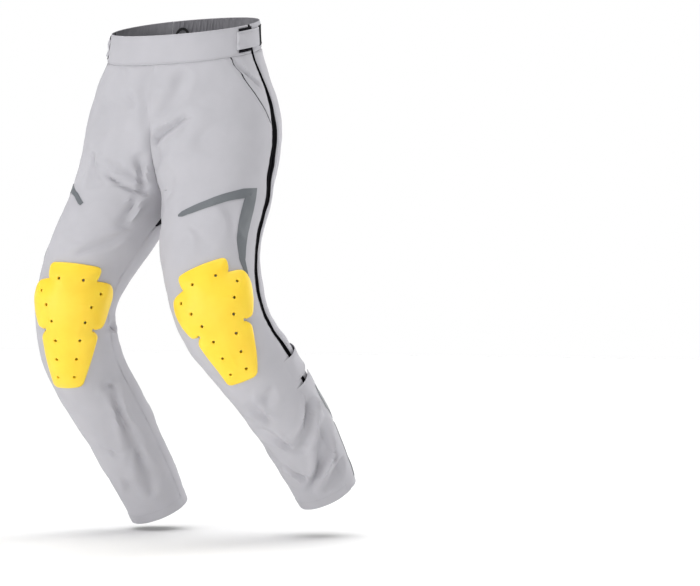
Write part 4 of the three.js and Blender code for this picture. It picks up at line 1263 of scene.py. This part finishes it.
gusset_cloth, tree, surface, position = finish(
    "ribbed_stretch_cloth", 0x161519, 0.85, (0x121116, 0x1C1B20), 16.7, Sheen_Weight=0.06, IOR=1.04)
relief(tree, surface, (woven(tree, add_node(tree, "UVMap", uv_map="cloth"), 1.4), 0.5, 0.2))
zip_finish, tree, surface, position = finish(
    "woven_zip_tape_and_nylon_coil", 0x0B0A0D, 0.55, (0x08070A, 0x100F12), 5, IOR=1.03)
twill = add_node(tree, "TexNoise", [("Vector", position)], Scale=per_metre(1.43))
relief(tree, surface, (twill, 0.4, 0.15))
lining, tree, surface, position = finish(
    "knitted_pocket_lining", 0x111013, 0.92, (0x0B0A0D, 0x161518), 11.1)
knit = add_node(tree, "TexVoronoi", [("Vector", position)], Scale=per_metre(2.63))
relief(tree, surface, (knit, 0.6, 0.4))
print("blacks:", ", ".join(m.name for m in (loop_tape, hook_tape, gusset_cloth, zip_finish, lining)))

# %% Reflective film
# A film of glass beads in clear resin over dark grey foil. In plain light it is a flat dark
# grey with a fine grain and a satin gloss. Real beads are some 0.05 mm wide, too fine to show,
# so the grain is drawn at 0.7 mm.
film_finish, tree, surface, position = finish(
    "glass_bead_reflective_film", 0x666A6E, 0.5, (0x606468, 0x6C7074), 0.909, 2.0)
beads = add_node(tree, "TexVoronoi", [("Vector", position)], Scale=per_metre(0.667))
relief(tree, surface, (beads, 0.25, 0.1))
print("film:", film_finish.name)

# %% Knee pads
# Closed-cell foam rubber from a polished mould: an even yellow skin, slightly soft in its
# gloss, with a 1.5 mm orange-peel from the mould and a little light let through at thin edges.
pad_finish, tree, surface, position = finish(
    "moulded_foam_rubber_pad", 0xF5D032, 0.5, (0xF4CC2C, 0xF7D438), 45.5,
    Subsurface_Weight=0.12, Subsurface_Radius=(1.0, 0.6, 0.15), Subsurface_Scale=3 * MM)
peel = add_node(tree, "TexNoise", [("Vector", position)], Scale=per_metre(1.54))
relief(tree, surface, (peel, 0.25, 0.15))
print("pads:", pad_finish.name)

# %% Thread and hanger tape
# Thick twisted thread, a shade darker than the cloth or black, with a mottle at the length of a
# stitch. The hanger is a narrow tape, woven more coarsely than the shell, with yarns 1 mm apart.
thread_grey = finish("twisted_polyester_thread_grey", 0xA9A8AE, 0.6, (0xA4A3A9, 0xAEADB3), 2.5)[0]
thread_black = finish("twisted_polyester_thread_black", 0x1B1A1E, 0.6, (0x151418, 0x242328), 2.5)[0]
hanger_finish, tree, surface, position = finish("narrow_woven_tape", 0x141316, 0.8)
relief(tree, surface, (woven(tree, position, 1.0), 0.5, 0.2))
print("threads and tape:", thread_grey.name, thread_black.name, hanger_finish.name)

# %% Each piece gets its material
FINISHES = (
    ("stitching_grey", thread_grey), ("stitching_black", thread_black), ("zip_", zip_finish),
    ("stretch_gusset", gusset_cloth), ("pocket_lining", lining), ("knee_pad", pad_finish),
    ("flap_hook_tape", hook_tape), ("hanger_loop", hanger_finish), ("waist_loop", loop_tape),
    ("waist_anchor", loop_tape), ("knee_loop", loop_tape), ("hem_loop", loop_tape),
    ("thigh_film", film_finish), ("shin_", film_finish),
)
for name, piece in pieces.items():
    material = next((m for start, m in FINISHES if name.startswith(start)), shell)
    piece.data.materials.clear()
    piece.data.materials.append(material)
    if material == shell and name in grids:   # its inner face has the coating, darkened further as painted shade
        piece.data.materials.append(inside_cloth_with_painted_shade)
        cells = (grids[name][0] - 1) * (grids[name][1] - 1)
        index = np.zeros(len(piece.data.polygons), dtype=np.int32)
        index[cells:2 * cells] = 1
        piece.data.polygons.foreach_set("material_index", index)
faces = {name: len(piece.data.polygons) for name, piece in pieces.items()}
print("pieces:", len(faces), "faces in all:", sum(faces.values()), "largest:", max(faces.values()))

# %% [markdown]
# ## Stage, light and camera
#
# The picture to match has a white ground and light from all round, so the world is white near
# the ground and overhead, three large soft lamps give the form, and the pale floor lies just
# below the hems. The camera is level, stands 30 degrees to the wearer's left of straight ahead
# and is turned a little, so that the trousers stand left of the middle as in the picture.

# %% Floor
FLOOR_REACH, FLOOR_DROP = 12.0, 0.012
floor_z = cad_box[0][2] - FLOOR_DROP
floor_mesh = bpy.data.meshes.new("floor")
corners = ((-1, -1), (1, -1), (1, 1), (-1, 1))
floor_mesh.from_pydata([(x * FLOOR_REACH, y * FLOOR_REACH, floor_z) for x, y in corners], [], [(0, 1, 2, 3)])
floor = bpy.data.objects.new("floor", floor_mesh)
bpy.context.collection.objects.link(floor)
floor_mesh.materials.append(finish("pale_matt_paper", 0xF6F6F6, 0.9)[0])
print("floor below the hems, mm:", round(FLOOR_DROP / MM))

# %% A white room
scene = bpy.context.scene
world = bpy.data.worlds.new("soft_white_room")
world.use_nodes = True
sky = world.node_tree
direction = add_node(sky, "TexCoord").outputs["Generated"]
up = add_node(sky, "SeparateXYZ", [(0, direction)]).outputs[2]
steepness = add_node(sky, "Math", [(0, up)], operation="ABSOLUTE")
low = add_node(sky, "MapRange", [(0, steepness)], From_Min=0.14, From_Max=0.26, To_Min=1.0, To_Max=0.26)
high = add_node(sky, "MapRange", [(0, up)], From_Min=0.75, From_Max=0.9, To_Min=0.0, To_Max=2.7)
strength = add_node(sky, "Math", [(0, low), (1, high)], operation="ADD")
sky.links.new(strength.outputs[0], sky.nodes["Background"].inputs["Strength"])
sky.nodes["Background"].inputs["Color"].default_value = (1.0, 1.0, 1.0, 1.0)
scene.world = world
scene.view_settings.view_transform = "Standard"
scene.view_settings.look = "None"
print("world:", world.name)

# %% Lamps
LAMP_SIZE, LAMP_AIM = 1.3, Vector((0.0, 0.0, -0.45))     # metres
for label, place, watts in (("key", (-1.5, -3.4, -0.55), 50), ("fill", (1.2, -3.6, -0.85), 24),
                            ("rear", (1.6, 3.4, 0.2), 50)):
    lamp = bpy.data.lights.new(label, "AREA")
    lamp.shape, lamp.size, lamp.energy = "SQUARE", LAMP_SIZE, watts
    lamp_object = bpy.data.objects.new(label, lamp)
    lamp_object.location = place
    lamp_object.rotation_euler = (LAMP_AIM - Vector(place)).to_track_quat("-Z", "Y").to_euler()
    bpy.context.collection.objects.link(lamp_object)
print("lamps: key, fill and rear")

# %% Camera
AZIMUTH, DISTANCE, EYE_Z = math.radians(30), 4.5, -0.472
MM_PER_PIXEL, FRAME_WIDTH, OBJECT_PIXEL, SENSOR = 1.88, 700, 186, 36.0
pixels_deep = DISTANCE / MM / MM_PER_PIXEL
camera_data = bpy.data.cameras.new("camera")
camera_data.sensor_width = SENSOR
camera_data.lens = pixels_deep * SENSOR / FRAME_WIDTH
camera_data.clip_end = 60
camera = bpy.data.objects.new("camera", camera_data)
camera.location = (DISTANCE * math.sin(AZIMUTH), -DISTANCE * math.cos(AZIMUTH), EYE_Z)
turn_right = math.atan((FRAME_WIDTH / 2 - OBJECT_PIXEL) / pixels_deep)
camera.rotation_euler = (math.pi / 2, 0, AZIMUTH - turn_right)
bpy.context.collection.objects.link(camera)
scene.camera = camera
print("lens in mm:", round(camera_data.lens, 1))
